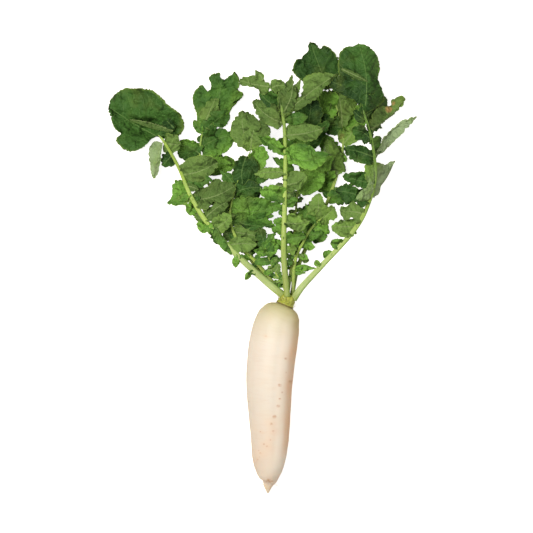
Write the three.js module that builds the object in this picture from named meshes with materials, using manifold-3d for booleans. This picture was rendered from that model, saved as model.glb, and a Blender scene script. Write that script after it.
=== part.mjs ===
// A daikon radish lying on a table: a long white root, its short leaf-bearing crown
// and nine lobed leaves fanned out behind it.
// Millimetres, +Z up. The root's tip points to -Y and the leaves run out to +Y.
// The origin is in the middle of the flat rest spot under the root's belly.

import * as THREE from 'three';
import { mergeVertices } from 'three/addons/utils/BufferGeometryUtils.js';
import Module from 'manifold-3d';

const wasm = await Module();
wasm.setup();

// ---------------------------------------------------------------- driving dimensions

// The root's axis and half-thickness, from the crown seat to the tip: [x, y, z, radius].
const ROOT_STATIONS = [
  [18.1, 99.4, 31.5, 11.5],
  [16.58, 95.7, 31.5, 19.5],
  [13.6, 88.5, 31.2, 25.0],
  [9.2, 77.0, 30.6, 28.6],
  [5.2, 58.0, 30.0, 30.4],
  [1.6, 32.0, 29.8, 30.4],
  [-0.8, 0.0, 28.6, 29.1],
  [-0.6, -34.0, 26.2, 26.7],
  [-0.2, -64.0, 23.8, 24.2],
  [-0.6, -90.0, 21.0, 20.8],
  [-0.6, -108.0, 16.6, 15.2],
  [-0.8, -117.0, 13.8, 10.0],
  [-1.0, -121.5, 12.6, 6.4],
  [-1.6, -127.0, 11.4, 4.2],
  [-2.6, -135.5, 9.8, 0.9],
];
const ROOT_SIDES = 24;
const ROOT_RINGS = 23;

const SEAT_GAP = 0.3;
const CROWN_RADIUS = 11.5;
const CROWN_LENGTH = 15.5;
const CROWN_SIDES = 12;
const CROWN_RINGS = 7;
const SCAR_COUNT = 6;

// The leaf blades and the stack they lie in.
const BLADE_THICKNESS = 0.9;
const BROAD_BLADE = 40;
const STALK_FLATNESS = 0.62;
const STALK_SIDES = 5;
const STALK_NECK = 0.18;
const LAYERS = 4;
const STACK_TOP = 62;
const STACK_BOTTOM = 1.0;
const DRAPED_TOP = 24;
const LAYER_GAP = 1.6;
const SPREAD_START = 15;
const SPREAD_END = 90;

// Outlines of the blades: the reach of the left and right edge from the midrib, at even
// steps from foot to tip, as shares of half the width. `back` is how far each side's
// lobe reaches back past the foot, and `fork` how far it reaches on past the tip's notch,
// as shares of the length.
const FORMS = {
  round: { left: [0.5, 1.0, 1.0, 0.85, 0.25], right: [0.45, 0.95, 1.0, 0.9, 0.2] },
  broad: { left: [0.75, 1.0, 1.0, 0.85, 0.25], right: [0.85, 0.95, 1.0, 0.75, 0.3] },
  spoon: { left: [0.25, 0.5, 0.95, 0.95, 0.25], right: [0.2, 0.55, 1.0, 0.85, 0.2] },
  strap: { left: [0.4, 0.8, 0.9, 0.7, 0.1], right: [0.45, 0.75, 0.9, 0.75, 0.15] },
  hooked: { left: [0.5, 1.0, 0.9, 0.4, 0.05], right: [0.4, 0.7, 1.05, 0.95, 0.1] },
  pointed: { left: [0.4, 0.9, 1.0, 0.5, 0.05], right: [0.45, 0.9, 0.9, 0.45, 0.05] },
  ragged: { left: [0.5, 1.0, 0.6, 0.9, 0.1], right: [0.4, 0.75, 1.1, 0.6, 0.4] },
  lobed: { left: [0.35, 0.9, 0.6, 1.0, 0.65, 0.2], right: [0.5, 1.0, 0.7, 0.95, 0.9, 0.25] },
  folded: {
    left: [0.2, 0.4, 0.85, 0.9, 0.9, 0.75, 0.1],
    right: [0.3, 0.4, 0.45, 0.45, 0.4, 0.3, 0.1],
  },
  kite: {
    left: [0.2, 0.2, 0.35, 0.6, 1.4, 1.33, 0.8, 0.07],
    right: [0.2, 0.33, 0.47, 0.6, 0.6, 0.33, 0.23, 0.07],
  },
  wing: {
    left: [0.4, 0.9, 1.6, 2.0, 1.6, 0.6, 0.07],
    right: [0.33, 0.45, 0.27, 0.07, 0.07, 0.07, 0.07],
  },
  curled: { left: [0.4, 0.5, 0.55, 0.5, 0.4, 0.15], right: [0.93, 1.5, 1.45, 1.0, 0.25, 0.07] },
  drooping: { left: [0.3, 0.35, 0.6, 0.7, 0.2], right: [0.8, 1.5, 1.3, 0.9, 0.3] },
  burnt: {
    left: [0.5, 1.0, 1.4, 1.45, 0.7, 1.1, 0.5],
    right: [0.3, 0.4, 0.4, 0.45, 0.5, 0.5, 0.3],
  },
  arched: { left: [0.73, 0.9, 0.45, 0.36, 0.45, 0.36], right: [0.27, 0.55, 0.9, 0.82, 0.64, 0.27] },
  shield: {
    left: [0.2, 0.5, 0.75, 0.88, 0.81, 0.6, 0.3],
    right: [0.2, 0.45, 0.75, 1.05, 1.25, 1.2, 0.6],
  },
  fan: {
    left: [0.3, 0.8, 1.0, 1.12, 1.0, 0.7, 0.15],
    right: [0.25, 0.6, 0.8, 0.9, 0.85, 0.65, 0.2],
  },
  great_left: {
    left: [0.07, 0.13, 0.6, 0.77, 0.78, 0.52, 0.41, 0.22, 0.05],
    right: [0.65, 0.86, 0.93, 0.98, 1.0, 0.98, 0.89, 0.73, 0.4],
    back: [0, 0.2],
  },
  great_right: {
    left: [0.33, 0.63, 0.81, 0.93, 0.96, 0.98, 1.02, 0.93, 0.2],
    right: [0.56, 0.83, 1.0, 0.81, 0.78, 0.91, 0.81, 0.52, 0.11],
    back: [0.06, 0.04],
  },
  crested: {
    left: [0.44, 0.62, 0.78, 0.9, 1.03, 0.97, 0.44, 0.12, 0.04],
    right: [0.47, 0.56, 0.59, 0.66, 0.7, 0.69, 0.5, 0.19, 0.04],
    back: [0.1, 0.05],
  },
  antlered: {
    left: [0.5, 0.67, 0.85, 0.93, 0.93, 0.75, 0.43, 0.53, 0.27],
    right: [0.67, 0.73, 0.75, 0.77, 0.87, 0.97, 0.75, 0.63, 0.35],
    back: [0.05, 0.05],
    fork: [0.1, 0.25],
  },
};

// The leaves, from the bottom of the stack to its top. Each has
//   layer       its level in the stack, 0 on the table
//   seat        where its stalk leaves the crown: across and up from the crown's axis
//   width       of its stalk at the crown, and at its end
//   stalk       the points that its midrib runs through after the crown
//   drape       the two points between which it comes down to the table, if it does
//   blades      its leaflets and, last, its end lobe:
//               [stalk station, tip x, tip y, width, form, height of the tip if it matters]
// A stalk station counts the stalk's points: 0 is the crown, 1 the first point after it.
// A negative width mirrors the form.
const LEAVES = [
  {
    name: 'leaf_far_left',
    layer: 0,
    seat: [-4.5, -7.2],
    width: [6.2, 1.8],
    stalk: [[-15, 144], [-47, 196], [-72, 241], [-87, 281], [-84, 319], [-70, 351]],
    blades: [
      [5.1, -68, 358, 25, 'broad', 4], [4.9, -52, 342, 26, 'lobed', 0],
      [4.4, -45, 313, 34, 'broad'], [3.8, -42, 277, 30, 'broad'],
      [4.2, -113, 305, 26, 'broad'], [3.8, -106, 284, 18, 'ragged'],
      [2.8, -42, 250, 30, 'ragged'], [2.2, -36, 222, 22, 'lobed'],
      [1.7, -26, 198, 18, 'broad'],
      [5.5, -61, 383, 60, 'antlered', -2],
    ],
  },
  {
    name: 'leaf_upper_right',
    layer: 0,
    seat: [4.4, -7.2],
    width: [6.4, 1.8],
    stalk: [[36, 151], [62, 206], [81, 254], [91, 294], [90, 325], [79, 359], [68, 380]],
    blades: [
      [4.9, 80, 362, 31, 'shield', 4], [5.5, 50, 350, 28, 'broad', -3],
      [4.2, 110, 327, 27, 'hooked', 3], [4.9, 56, 330, 26, 'lobed', -3],
      [3.2, 72, 306, 25, 'broad', 3], [5.9, 96, 368, 22, 'round', -3],
      [3.0, 44, 258, 32, 'broad'], [2.5, 102, 240, 22, 'ragged'],
      [2.2, 41, 220, 20, 'broad'],
      [6.5, 50, 431, 66, 'crested'],
    ],
  },
  {
    name: 'leaf_back',
    layer: 1,
    seat: [-0.5, -2.2],
    width: [4.6, 1.6],
    stalk: [[27, 154], [31, 200], [34, 238], [39, 275], [45, 313]],
    blades: [
      [4.5, 72, 328, 22, 'broad'], [4.1, 12, 307, 24, 'round'],
      [3.8, 78, 284, 28, 'lobed'], [3.4, 4, 284, 20, 'hooked'],
      [3.1, 68, 262, 26, 'round'], [2.8, 8, 250, 20, 'broad'],
      [2.0, 46, 222, 16, 'pointed'], [1.4, 44, 184, 14, 'broad'],
      [4.5, 52, 360, 38, 'lobed'],
    ],
  },
  {
    name: 'leaf_inner_left',
    layer: 2,
    seat: [-7.4, -2.2],
    width: [5.6, 1.6],
    stalk: [[-15, 151], [-37, 174], [-49, 203], [-48, 226], [-38, 262], [-22, 296]],
    blades: [
      [5.3, 2, 281, 25, 'round', 3], [4.75, -27, 287, 31, 'round', 2],
      [4.6, -62, 268, 18, 'pointed'], [4.4, -10, 246, 28, 'lobed'],
      [3.8, 8, 222, 28, 'broad'], [3.7, -78, 238, 22, 'ragged'],
      [3.2, 5, 200, 22, 'ragged'], [3.1, -68, 208, 20, 'broad'],
      [2.6, -6, 184, 24, 'lobed'], [2.3, -58, 190, 16, 'round'],
      [1.8, -20, 166, 12, 'pointed'], [1.3, -34, 160, 9, 'spoon'],
      [5.9, -9, 334, 20, 'hooked', 3],
      [5.9, -35, 341, 39, 'fan'],
    ],
  },
  {
    name: 'leaf_young_right',
    layer: 2,
    seat: [6.2, -2.2],
    width: [4.4, 1.4],
    stalk: [[31, 154], [42, 180], [52, 196], [65, 209]],
    blades: [
      [3.3, 60, 238, 24, 'broad'], [3.0, 44, 226, 17, 'pointed'],
      [3.0, 74, 192, 20, 'ragged'], [2.6, 36, 212, 15, 'lobed'],
      [1.9, 56, 172, 13, 'hooked'], [1.7, 30, 188, 13, 'broad'],
      [1.3, 47, 157, 8, 'spoon'], [0.7, 44, 140, 8, 'pointed'],
      [3.6, 80, 222, 24, 'lobed'],
    ],
  },
  {
    name: 'leaf_young_left',
    layer: 3,
    seat: [0.8, 2.6],
    width: [3.6, 1.3],
    stalk: [[14, 128], [5, 144], [-2, 160], [-8, 176]],
    blades: [
      [3.6, 5, 189, 15, 'ragged'], [3.2, 10, 175, 13, 'broad'],
      [3.3, -20, 168, 12, 'pointed'], [2.6, 11, 159, 12, 'lobed'],
      [2.7, -19, 153, 10, 'broad'], [1.9, -8, 140, 8, 'spoon'],
      [3.8, -14, 196, 17, 'lobed'],
    ],
  },
  {
    name: 'leaf_left',
    layer: 3,
    seat: [-7.0, 3.0],
    width: [10.6, 2.4],
    stalk: [[-8, 132], [-46, 167], [-79, 204], [-99, 237], [-114, 272], [-134, 306], [-146, 317]],
    drape: [[-92, 262], [-140, 304]],
    blades: [
      [5.9, -112, 300, 27, 'broad', 4], [5.9, -144, 259, 15, 'drooping', 3],
      [5.4, -134, 274, 21, 'broad', -2], [4.7, -66, 277, 32, 'broad', 2],
      [3.8, -44, 248, 34, 'lobed', -2], [4.1, -127, 227, 30, 'curled', 2],
      [4.3, -89, 243, 9, 'broad', 4], [3.6, -101, 213, 20, 'broad', -1],
      [3.1, -54, 228, 22, 'ragged'], [3.0, -84, 190, 20, 'broad'],
      [2.7, -48, 212, 22, 'broad', 2], [2.5, -66, 176, 20, 'broad'],
      [2.2, -17, 175, 19, 'round', 3], [1.9, -45, 151, 8, 'spoon'],
      [1.4, -31, 132, 7, 'spoon'],
      [6.1, -202, 348, 90, 'great_left', -1],
    ],
  },
  {
    name: 'leaf_right',
    layer: 3,
    seat: [7.0, 3.0],
    width: [9.8, 1.8],
    stalk: [
      [40, 123], [64, 149], [104, 193], [122, 226], [131, 262], [126, 305], [115, 344], [112, 369],
    ],
    drape: [[116, 260], [156, 260]],
    blades: [
      [6.3, 168, 358, 20, 'burnt'], [5.5, 183, 337, 20, 'folded', 2],
      [4.3, 156, 280, 30, 'wing', 3], [5.5, 92, 288, 30, 'broad', -3],
      [6.0, 102, 318, 22, 'lobed', -3], [6.6, 94, 342, 22, 'broad', -3],
      [6.5, 140, 321, 24, 'pointed', -3], [5.7, 139, 301, 16, 'pointed', -3],
      [4.7, 91, 260, 20, 'broad', -3], [4.1, 82, 242, 27, 'lobed', -2],
      [3.6, 90, 217, 25, 'ragged', 1], [3.1, 80, 197, 22, 'broad'],
      [2.6, 75, 177, 14, 'broad'], [2.3, 66, 165, 12, 'broad'],
      [1.9, 57, 156, 8, 'spoon'],
      [6.8, 110, 426, 54, 'great_right'],
    ],
  },
  {
    name: 'leaf_centre',
    layer: 3,
    seat: [-1.0, 8.0],
    width: [8.6, 1.8],
    stalk: [[17, 164], [18, 219], [19, 269], [18, 315], [14, 346], [6, 364], [-11, 380], [-26, 381]],
    blades: [
      [4.7, 27, 386, 25, 'pointed', 3], [4.6, 83, 387, 30, 'kite', 2],
      [4.4, 46, 334, 16, 'round', -3], [3.9, 67, 320, 30, 'hooked', 2],
      [3.3, 73, 287, 34, 'hooked'], [2.6, 44, 261, 24, 'broad', 2],
      [1.7, 49, 205, 22, 'hooked', 1], [1.3, 44, 186, 19, 'ragged', -2],
      [4.3, -20, 353, 26, 'broad', 2], [3.4, -14, 309, 18, 'strap', 1],
      [2.9, -19, 262, 17, 'strap', 2], [2.3, -12, 242, 22, 'broad'],
      [1.7, 4, 204, 14, 'strap', -3], [1.1, 6, 182, 12, 'strap', -3],
      [5.5, -8, 360, 14, 'round', -3], [6.3, 19, 373, 20, 'broad', -1],
      [6.9, -17, 395, 11, 'pointed'],
      [6.4, -37, 378, 22, 'arched'],
    ],
  },
];

// ---------------------------------------------------------------- small helpers

const WHITE_SKIN = new THREE.MeshStandardMaterial({ color: 0xf6ead8, roughness: 0.42 });
const CROWN_GREEN = new THREE.MeshStandardMaterial({ color: 0xa6b24a, roughness: 0.55 });
const LEAF_GREEN = new THREE.MeshStandardMaterial({ color: 0x4d7a38, roughness: 0.5 });

const mix = (a, b, t) => a + (b - a) * t;

// 0 before a, 1 after b, and an S-shaped rise between them.
function smooth(a, b, x) {
  const t = Math.min(1, Math.max(0, (x - a) / (b - a)));
  return t * t * (3 - 2 * t);
}

// A number from 0 to 1 that depends only on its seed.
function chance(seed) {
  const s = Math.sin(seed * 12.9898 + 4.1414) * 43758.5453;
  return s - Math.floor(s);
}

// A closed skin over rings of points: each ring joins the next, and fans close the ends.
function skinOverRings(rings) {
  const sides = rings[0].length;
  const points = rings.flat();
  const triangles = [];
  for (let ring = 0; ring + 1 < rings.length; ring += 1) {
    for (let side = 0; side < sides; side += 1) {
      const here = ring * sides + side;
      const beside = ring * sides + ((side + 1) % sides);
      triangles.push(here, beside + sides, beside);
      triangles.push(here, here + sides, beside + sides);
    }
  }
  for (const [ring, flip] of [[0, false], [rings.length - 1, true]]) {
    const middle = new THREE.Vector3();
    rings[ring].forEach((point) => middle.addScaledVector(point, 1 / sides));
    points.push(middle);
    for (let side = 0; side < sides; side += 1) {
      const here = ring * sides + side;
      const beside = ring * sides + ((side + 1) % sides);
      triangles.push(points.length - 1, flip ? beside : here, flip ? here : beside);
    }
  }
  const geometry = new THREE.BufferGeometry().setFromPoints(points);
  geometry.setIndex(triangles);
  return geometry;
}

// three.js geometry to a manifold solid, and back.
function toSolid(geometry) {
  const bare = geometry.clone();
  bare.deleteAttribute('normal');
  bare.deleteAttribute('uv');
  const merged = mergeVertices(bare, 1e-5);
  const mesh = new wasm.Mesh({
    numProp: 3,
    vertProperties: new Float32Array(merged.attributes.position.array),
    triVerts: new Uint32Array(merged.index.array),
  });
  return new wasm.Manifold(mesh);
}

// The largest body is kept: crumbs and sealed bubbles left by fusing are dropped.
function toGeometry(solid) {
  const bodies = solid.decompose().sort((a, b) => b.volume() - a.volume());
  const { vertProperties, triVerts } = bodies[0].getMesh();
  const geometry = new THREE.BufferGeometry();
  geometry.setAttribute('position', new THREE.BufferAttribute(vertProperties, 3));
  geometry.setIndex(new THREE.BufferAttribute(triVerts, 1));
  return geometry;
}

// ---------------------------------------------------------------- root

// A round body along an axis: rings of the given radius, square to the axis.
function roundBody(axis, radiusAt, sides, count) {
  const rings = [];
  for (let step = 0; step < count; step += 1) {
    const t = step / (count - 1);
    const centre = axis.getPoint(t);
    const along = axis.getTangent(t);
    const across = new THREE.Vector3(along.y, -along.x, 0).normalize();
    const up = new THREE.Vector3().crossVectors(across, along);
    const radius = radiusAt(t);
    const ring = [];
    for (let side = 0; side < sides; side += 1) {
      const angle = (side / sides) * 2 * Math.PI;
      ring.push(centre.clone()
        .addScaledVector(across, radius * Math.cos(angle))
        .addScaledVector(up, radius * Math.sin(angle)));
    }
    rings.push(ring);
  }
  return skinOverRings(rings);
}

function makeRoot() {
  const axisPoints = ROOT_STATIONS.map(([x, y, z]) => new THREE.Vector3(x, y, z));
  const radiusPoints = ROOT_STATIONS.map((station) => new THREE.Vector3(station[3], 0, 0));
  const axis = new THREE.CatmullRomCurve3(axisPoints, false, 'catmullrom', 0.5);
  const radii = new THREE.CatmullRomCurve3(radiusPoints, false, 'catmullrom', 0.5);
  const body = roundBody(axis, (t) => radii.getPoint(t).x, ROOT_SIDES, ROOT_RINGS);
  // The belly is pressed flat where it rests, by keeping only what is above the table.
  const above = new THREE.BoxGeometry(200, 400, 100).translate(0, 0, 50);
  return toGeometry(toSolid(body).intersect(toSolid(above)));
}

// ---------------------------------------------------------------- crown

const seatCentre = new THREE.Vector3(...ROOT_STATIONS[0].slice(0, 3));
const crownAxis = new THREE.Vector3(0.38, 0.925, 0).normalize();
const crownAcross = new THREE.Vector3(crownAxis.y, -crownAxis.x, 0);

// A short stem with a swollen scar ring at its foot and a domed top, larger by the margin.
function crownBody(margin) {
  const start = seatCentre.clone().addScaledVector(crownAxis, SEAT_GAP - margin);
  const end = seatCentre.clone().addScaledVector(crownAxis, CROWN_LENGTH + margin);
  const outline = (t) => {
    const scar = 1 - 0.12 * smooth(0.12, 0.3, t);
    const dome = Math.sqrt(Math.max(0, 1 - Math.max(0, (t - 0.55) / 0.47) ** 2));
    return CROWN_RADIUS * scar * dome - 0.4 + margin;
  };
  return roundBody(new THREE.LineCurve3(start, end), outline, CROWN_SIDES, CROWN_RINGS);
}

// The stubs of shed leaves, pointed scales that stand round the crown.
function scarStub(index) {
  const angle = ((index + 0.6 * chance(index)) / SCAR_COUNT) * 2 * Math.PI;
  const outward = crownAcross.clone().multiplyScalar(Math.cos(angle))
    .add(new THREE.Vector3(0, 0, Math.sin(angle)));
  const foot = seatCentre.clone().addScaledVector(crownAxis, 4.0)
    .addScaledVector(outward, CROWN_RADIUS * 0.62);
  const lean = crownAxis.clone().addScaledVector(outward, 0.9 + 0.4 * chance(index + 20)).normalize();
  const length = 5.5 + 2.5 * chance(index + 40);
  const stub = new THREE.CylinderGeometry(0.6, 2.4, length, 5);
  stub.translate(0, length / 2, 0);
  stub.applyQuaternion(new THREE.Quaternion().setFromUnitVectors(new THREE.Vector3(0, 1, 0), lean));
  stub.translate(foot.x, foot.y, foot.z);
  return toSolid(stub);
}

function makeCrown() {
  let crown = toSolid(crownBody(0));
  for (let index = 0; index < SCAR_COUNT; index += 1) {
    crown = crown.add(scarStub(index));
  }
  return crown;
}

// ---------------------------------------------------------------- leaves

// The middle and half-height of the space that a leaf may fill at (x, y), so that leaves
// of different layers never meet. Near the crown it narrows to the leaf's own stalk.
function bandAt(leaf, x, y) {
  const top = STACK_TOP - 16 * smooth(320, 440, y) - 20 * smooth(90, 200, Math.abs(x - 15));
  const slab = (top - STACK_BOTTOM) / LAYERS;
  let low = STACK_BOTTOM + leaf.layer * slab;
  let high = low + slab - LAYER_GAP;
  if (leaf.drape) {
    const [[x0, y0], [x1, y1]] = leaf.drape;
    const run = ((x - x0) * (x1 - x0) + (y - y0) * (y1 - y0)) / ((x1 - x0) ** 2 + (y1 - y0) ** 2);
    const fall = smooth(0, 1, run);
    low = mix(low, STACK_BOTTOM, fall);
    high = mix(high, DRAPED_TOP, fall);
  }
  const spread = smooth(SPREAD_START, SPREAD_END, Math.hypot(x - leaf.foot.x, y - leaf.foot.y));
  return {
    middle: mix(leaf.foot.z, (low + high) / 2, spread),
    half: mix(1.5, (high - low) / 2 - BLADE_THICKNESS / 2, spread),
  };
}

// The height of a leaf's surface that would stand "lift" above its middle, held in its band.
function heightAt(leaf, x, y, lift) {
  const { middle, half } = bandAt(leaf, x, y);
  return middle + half * Math.tanh(lift / half);
}

// A waved blade from its foot on the midrib to its tip, of even thickness. Its rows are
// the even steps of its form, and its columns run from the right edge to the left one.
function makeBlade(leaf, blade, seed) {
  const [station, tipX, tipY, signedWidth, formName, lift = 3 * (chance(seed + 0.8) - 0.5)] = blade;
  const form = FORMS[formName];
  const width = Math.abs(signedWidth);
  const [left, right] = signedWidth < 0 ? [form.right, form.left] : [form.left, form.right];
  const [leftBack, rightBack] = form.back ?? [0, 0];
  const [leftFork, rightFork] = form.fork ?? [0, 0];
  const foot = leaf.midrib.getPoint(station / leaf.stalk.length);
  const along = new THREE.Vector2(tipX - foot.x, tipY - foot.y);
  const length = along.length();
  along.normalize();
  const across = new THREE.Vector2(-along.y, along.x);
  const bend = 0.06 * (chance(seed) - 0.5);
  const twist = 0.7 * (chance(seed + 0.1) - 0.5);
  const rise = 0.3 * (chance(seed + 0.2) - 0.5);
  const cup = 0.5 * (chance(seed + 0.3) - 0.35);
  const waves = 0.07 + 0.06 * chance(seed + 0.4);
  const rows = left.length - 1;
  const columns = width > BROAD_BLADE ? 4 : 2;
  const upper = [];
  for (let row = 0; row <= rows; row += 1) {
    const u = row / rows;
    for (let column = 0; column <= columns; column += 1) {
      const v = (2 * column) / columns - 1;
      const share = v > 0 ? left[row] : right[row];
      const back = (v > 0 ? leftBack : rightBack) * (1 - u) ** 2;
      const fork = (v > 0 ? leftFork : rightFork) * u ** 2;
      const halfWidth = Math.max(0.6, 0.5 * width * share);
      const a = length * (u + (fork - back) * v * v);
      const b = v * halfWidth + length * bend * Math.sin(Math.PI * u);
      const x = foot.x + along.x * a + across.x * b;
      const y = foot.y + along.y * a + across.y * b;
      const phase = 1.5 * u + 0.25 * v + chance(seed + 0.5);
      const ripple = waves * width * Math.sin(2 * Math.PI * phase) * v * v;
      const tilt = (twist * v + cup * Math.abs(v)) * halfWidth;
      const raised = rise * length * u * u + lift * smooth(0, 0.35, u);
      const z = heightAt(leaf, x, y, raised + tilt + ripple);
      upper.push(new THREE.Vector3(x, y, z + BLADE_THICKNESS / 2));
    }
  }
  return toSolid(sheet(upper, rows, columns));
}

// A grid of points thickened downwards: both faces split into triangles alike, and a rim.
function sheet(upper, rows, columns) {
  const stride = columns + 1;
  const count = upper.length;
  const lower = upper.map((point) => new THREE.Vector3(point.x, point.y, point.z - BLADE_THICKNESS));
  const triangles = [];
  const face = (a, b, c) => {
    triangles.push(a, b, c);
    triangles.push(a + count, c + count, b + count);
  };
  for (let row = 0; row < rows; row += 1) {
    for (let column = 0; column < columns; column += 1) {
      const here = row * stride + column;
      face(here, here + 1 + stride, here + 1);
      face(here, here + stride, here + 1 + stride);
    }
  }
  const border = [];
  for (let column = 0; column < columns; column += 1) border.push(column);
  for (let row = 0; row < rows; row += 1) border.push(row * stride + columns);
  for (let column = columns; column > 0; column -= 1) border.push(rows * stride + column);
  for (let row = rows; row > 0; row -= 1) border.push(row * stride);
  border.forEach((a, index) => {
    const b = border[(index + 1) % border.length];
    triangles.push(a, b, b + count);
    triangles.push(a, b + count, a + count);
  });
  const geometry = new THREE.BufferGeometry().setFromPoints([...upper, ...lower]);
  geometry.setIndex(triangles);
  return geometry;
}

// The stalk and midrib: flat above and keeled below in section, tapering to its end.
function makeStalk(leaf) {
  const rings = [];
  const steps = Math.round(1.5 * leaf.stalk.length);
  const endStation = leaf.blades[leaf.blades.length - 1][0];
  const reach = Math.min(1, (endStation + 0.4) / leaf.stalk.length);
  for (let step = 0; step <= steps; step += 1) {
    const t = reach * (step / steps);
    const centre = leaf.midrib.getPoint(t);
    const tangent = leaf.midrib.getTangent(t);
    const across = new THREE.Vector3(tangent.y, -tangent.x, 0).normalize();
    const neck = 1 - STALK_NECK * (1 - smooth(0, 0.1, t));
    const width = neck * mix(leaf.width[0], leaf.width[1], t ** 0.7);
    const ring = [];
    for (let side = 0; side < STALK_SIDES; side += 1) {
      const angle = (side / STALK_SIDES) * 2 * Math.PI - Math.PI / 2;
      const rise = Math.sin(angle) * (Math.sin(angle) > 0 ? 0.7 : 1.1) * STALK_FLATNESS;
      ring.push(centre.clone()
        .addScaledVector(across, 0.5 * width * Math.cos(angle))
        .add(new THREE.Vector3(0, 0, 0.5 * width * rise)));
    }
    rings.push(ring);
  }
  return toSolid(skinOverRings(rings));
}

// The midrib in space: its plan from the leaf's points, its height from the leaf's band.
function makeMidrib(leaf) {
  const plan = [new THREE.Vector3(leaf.foot.x, leaf.foot.y, 0)];
  leaf.stalk.forEach(([x, y]) => plan.push(new THREE.Vector3(x, y, 0)));
  const flat = new THREE.CatmullRomCurve3(plan, false, 'catmullrom', 0.5);
  const points = [];
  const steps = 6 * leaf.stalk.length;
  for (let step = 0; step <= steps; step += 1) {
    const point = flat.getPoint(step / steps);
    points.push(point.setZ(heightAt(leaf, point.x, point.y, 0)));
  }
  return new THREE.CatmullRomCurve3(points, false, 'catmullrom', 0.5);
}

function makeLeaf(leaf, leafIndex, crownRoom) {
  leaf.foot = seatCentre.clone()
    .addScaledVector(crownAxis, CROWN_LENGTH * 0.72)
    .addScaledVector(crownAcross, leaf.seat[0])
    .add(new THREE.Vector3(0, 0, leaf.seat[1]));
  leaf.midrib = makeMidrib(leaf);
  let solid = makeStalk(leaf);
  leaf.blades.forEach((blade, index) => {
    solid = solid.add(makeBlade(leaf, blade, 20 * leafIndex + index));
  });
  return solid.subtract(crownRoom);
}

// ---------------------------------------------------------------- assembly

const daikon = new THREE.Group();

function addPiece(name, geometry, material) {
  const mesh = new THREE.Mesh(geometry, material);
  mesh.name = name;
  daikon.add(mesh);
}

addPiece('root', makeRoot(), WHITE_SKIN);
addPiece('crown', toGeometry(makeCrown()), CROWN_GREEN);
const crownRoom = toSolid(crownBody(SEAT_GAP));
LEAVES.forEach((leaf, index) => {
  addPiece(leaf.name, toGeometry(makeLeaf(leaf, index, crownRoom)), LEAF_GREEN);
});

export default daikon;
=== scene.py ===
# %% [markdown]
# # A daikon radish with its leaves
# A daikon is a long white taproot. A short green crown sits on its shoulder, and a fan of
# lobed leaves grows out of the crown. The solid model gives every piece its place and size.
# This script dresses those pieces: it replaces each plain solid with a finer surface of the
# same form and gives it a finish made of shader nodes.
# It starts by loading the solid model, because everything after it is measured from there.

import bpy
import numpy as np
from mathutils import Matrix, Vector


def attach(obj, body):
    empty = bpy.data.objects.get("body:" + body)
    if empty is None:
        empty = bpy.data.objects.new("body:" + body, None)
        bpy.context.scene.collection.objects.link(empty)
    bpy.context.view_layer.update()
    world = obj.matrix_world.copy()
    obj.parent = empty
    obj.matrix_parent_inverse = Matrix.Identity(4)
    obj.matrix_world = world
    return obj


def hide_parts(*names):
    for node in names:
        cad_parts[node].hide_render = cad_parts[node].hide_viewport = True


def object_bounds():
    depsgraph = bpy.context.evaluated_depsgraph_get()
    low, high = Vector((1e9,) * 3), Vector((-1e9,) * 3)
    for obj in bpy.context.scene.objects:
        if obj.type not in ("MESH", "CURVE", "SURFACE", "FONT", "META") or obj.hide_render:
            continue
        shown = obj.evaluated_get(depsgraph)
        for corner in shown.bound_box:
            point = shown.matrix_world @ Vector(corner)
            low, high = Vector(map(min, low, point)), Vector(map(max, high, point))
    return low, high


MM = 0.001
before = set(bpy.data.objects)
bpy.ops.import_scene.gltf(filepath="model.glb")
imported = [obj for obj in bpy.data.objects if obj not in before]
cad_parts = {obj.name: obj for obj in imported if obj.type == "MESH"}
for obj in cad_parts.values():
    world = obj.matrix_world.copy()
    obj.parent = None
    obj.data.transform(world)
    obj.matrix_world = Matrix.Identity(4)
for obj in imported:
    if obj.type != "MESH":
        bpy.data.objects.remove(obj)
cad_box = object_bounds()
# The same box in millimetres.
cad_low, cad_high = (1000 * np.array(corner) for corner in cad_box)
print("solid pieces:", sorted(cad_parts))

# %% [markdown]
# ## Small tools
# All sizes below are written in millimetres, as a grower would measure them, and turned into
# Blender's metres when a mesh is made. Two helpers shape nearly everything: `smooth`, an
# S-shaped step, and `chance`, a number that looks random but is always the same for the same
# seed. Blender could also draw random numbers with Python's random module. A formula is used
# instead, so that the same leaf grows the same way in every run and in every program.

# %% Steps, blends and repeatable chance
def mix(a, b, t):
    """a at t = 0, b at t = 1, and a straight blend between them."""
    return a + (b - a) * t


def smooth(a, b, x):
    """0 before a, 1 after b, and 3t^2 - 2t^3 between them, with t the share of the way. a may
    be above b, and then it falls."""
    t = np.clip((x - a) / (b - a), 0, 1)
    return t * t * (3 - 2 * t)


def chance(seed):
    """A number from 0 to 1: the fraction left of a large multiple of the seed's sine."""
    s = np.sin(np.asarray(seed) * 12.9898 + 4.1414) * 43758.5453
    return s - np.floor(s)


print("the chances of seeds 1 to 4:", chance([1, 2, 3, 4]).round(2))


# %% Smooth curves
def curve_through(points, t):
    """A smooth curve through the points at shares t of the way: a Catmull-Rom spline, whose
    slope at each point is half the step from the point before it to the point after it."""
    points = np.asarray(points, float)
    ends = np.vstack([2 * points[0] - points[1], points, 2 * points[-1] - points[-2]])
    place = np.clip(np.asarray(t, float), 0, 1) * (len(points) - 1)
    first = np.minimum(place.astype(int), len(points) - 2)
    w = (place - first)[..., None]
    p0, p1, p2, p3 = (ends[first + k] for k in range(4))
    slope_1 = 0.5 * (p2 - p0)
    slope_2 = 0.5 * (p3 - p1)
    return ((2 * w**3 - 3 * w**2 + 1) * p1 + (w**3 - 2 * w**2 + w) * slope_1
            + (-2 * w**3 + 3 * w**2) * p2 + (w**3 - w**2) * slope_2)


def unit(vectors):
    """Each vector divided by its own length."""
    return vectors / np.maximum(np.linalg.norm(vectors, axis=-1, keepdims=True), 1e-12)


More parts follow.
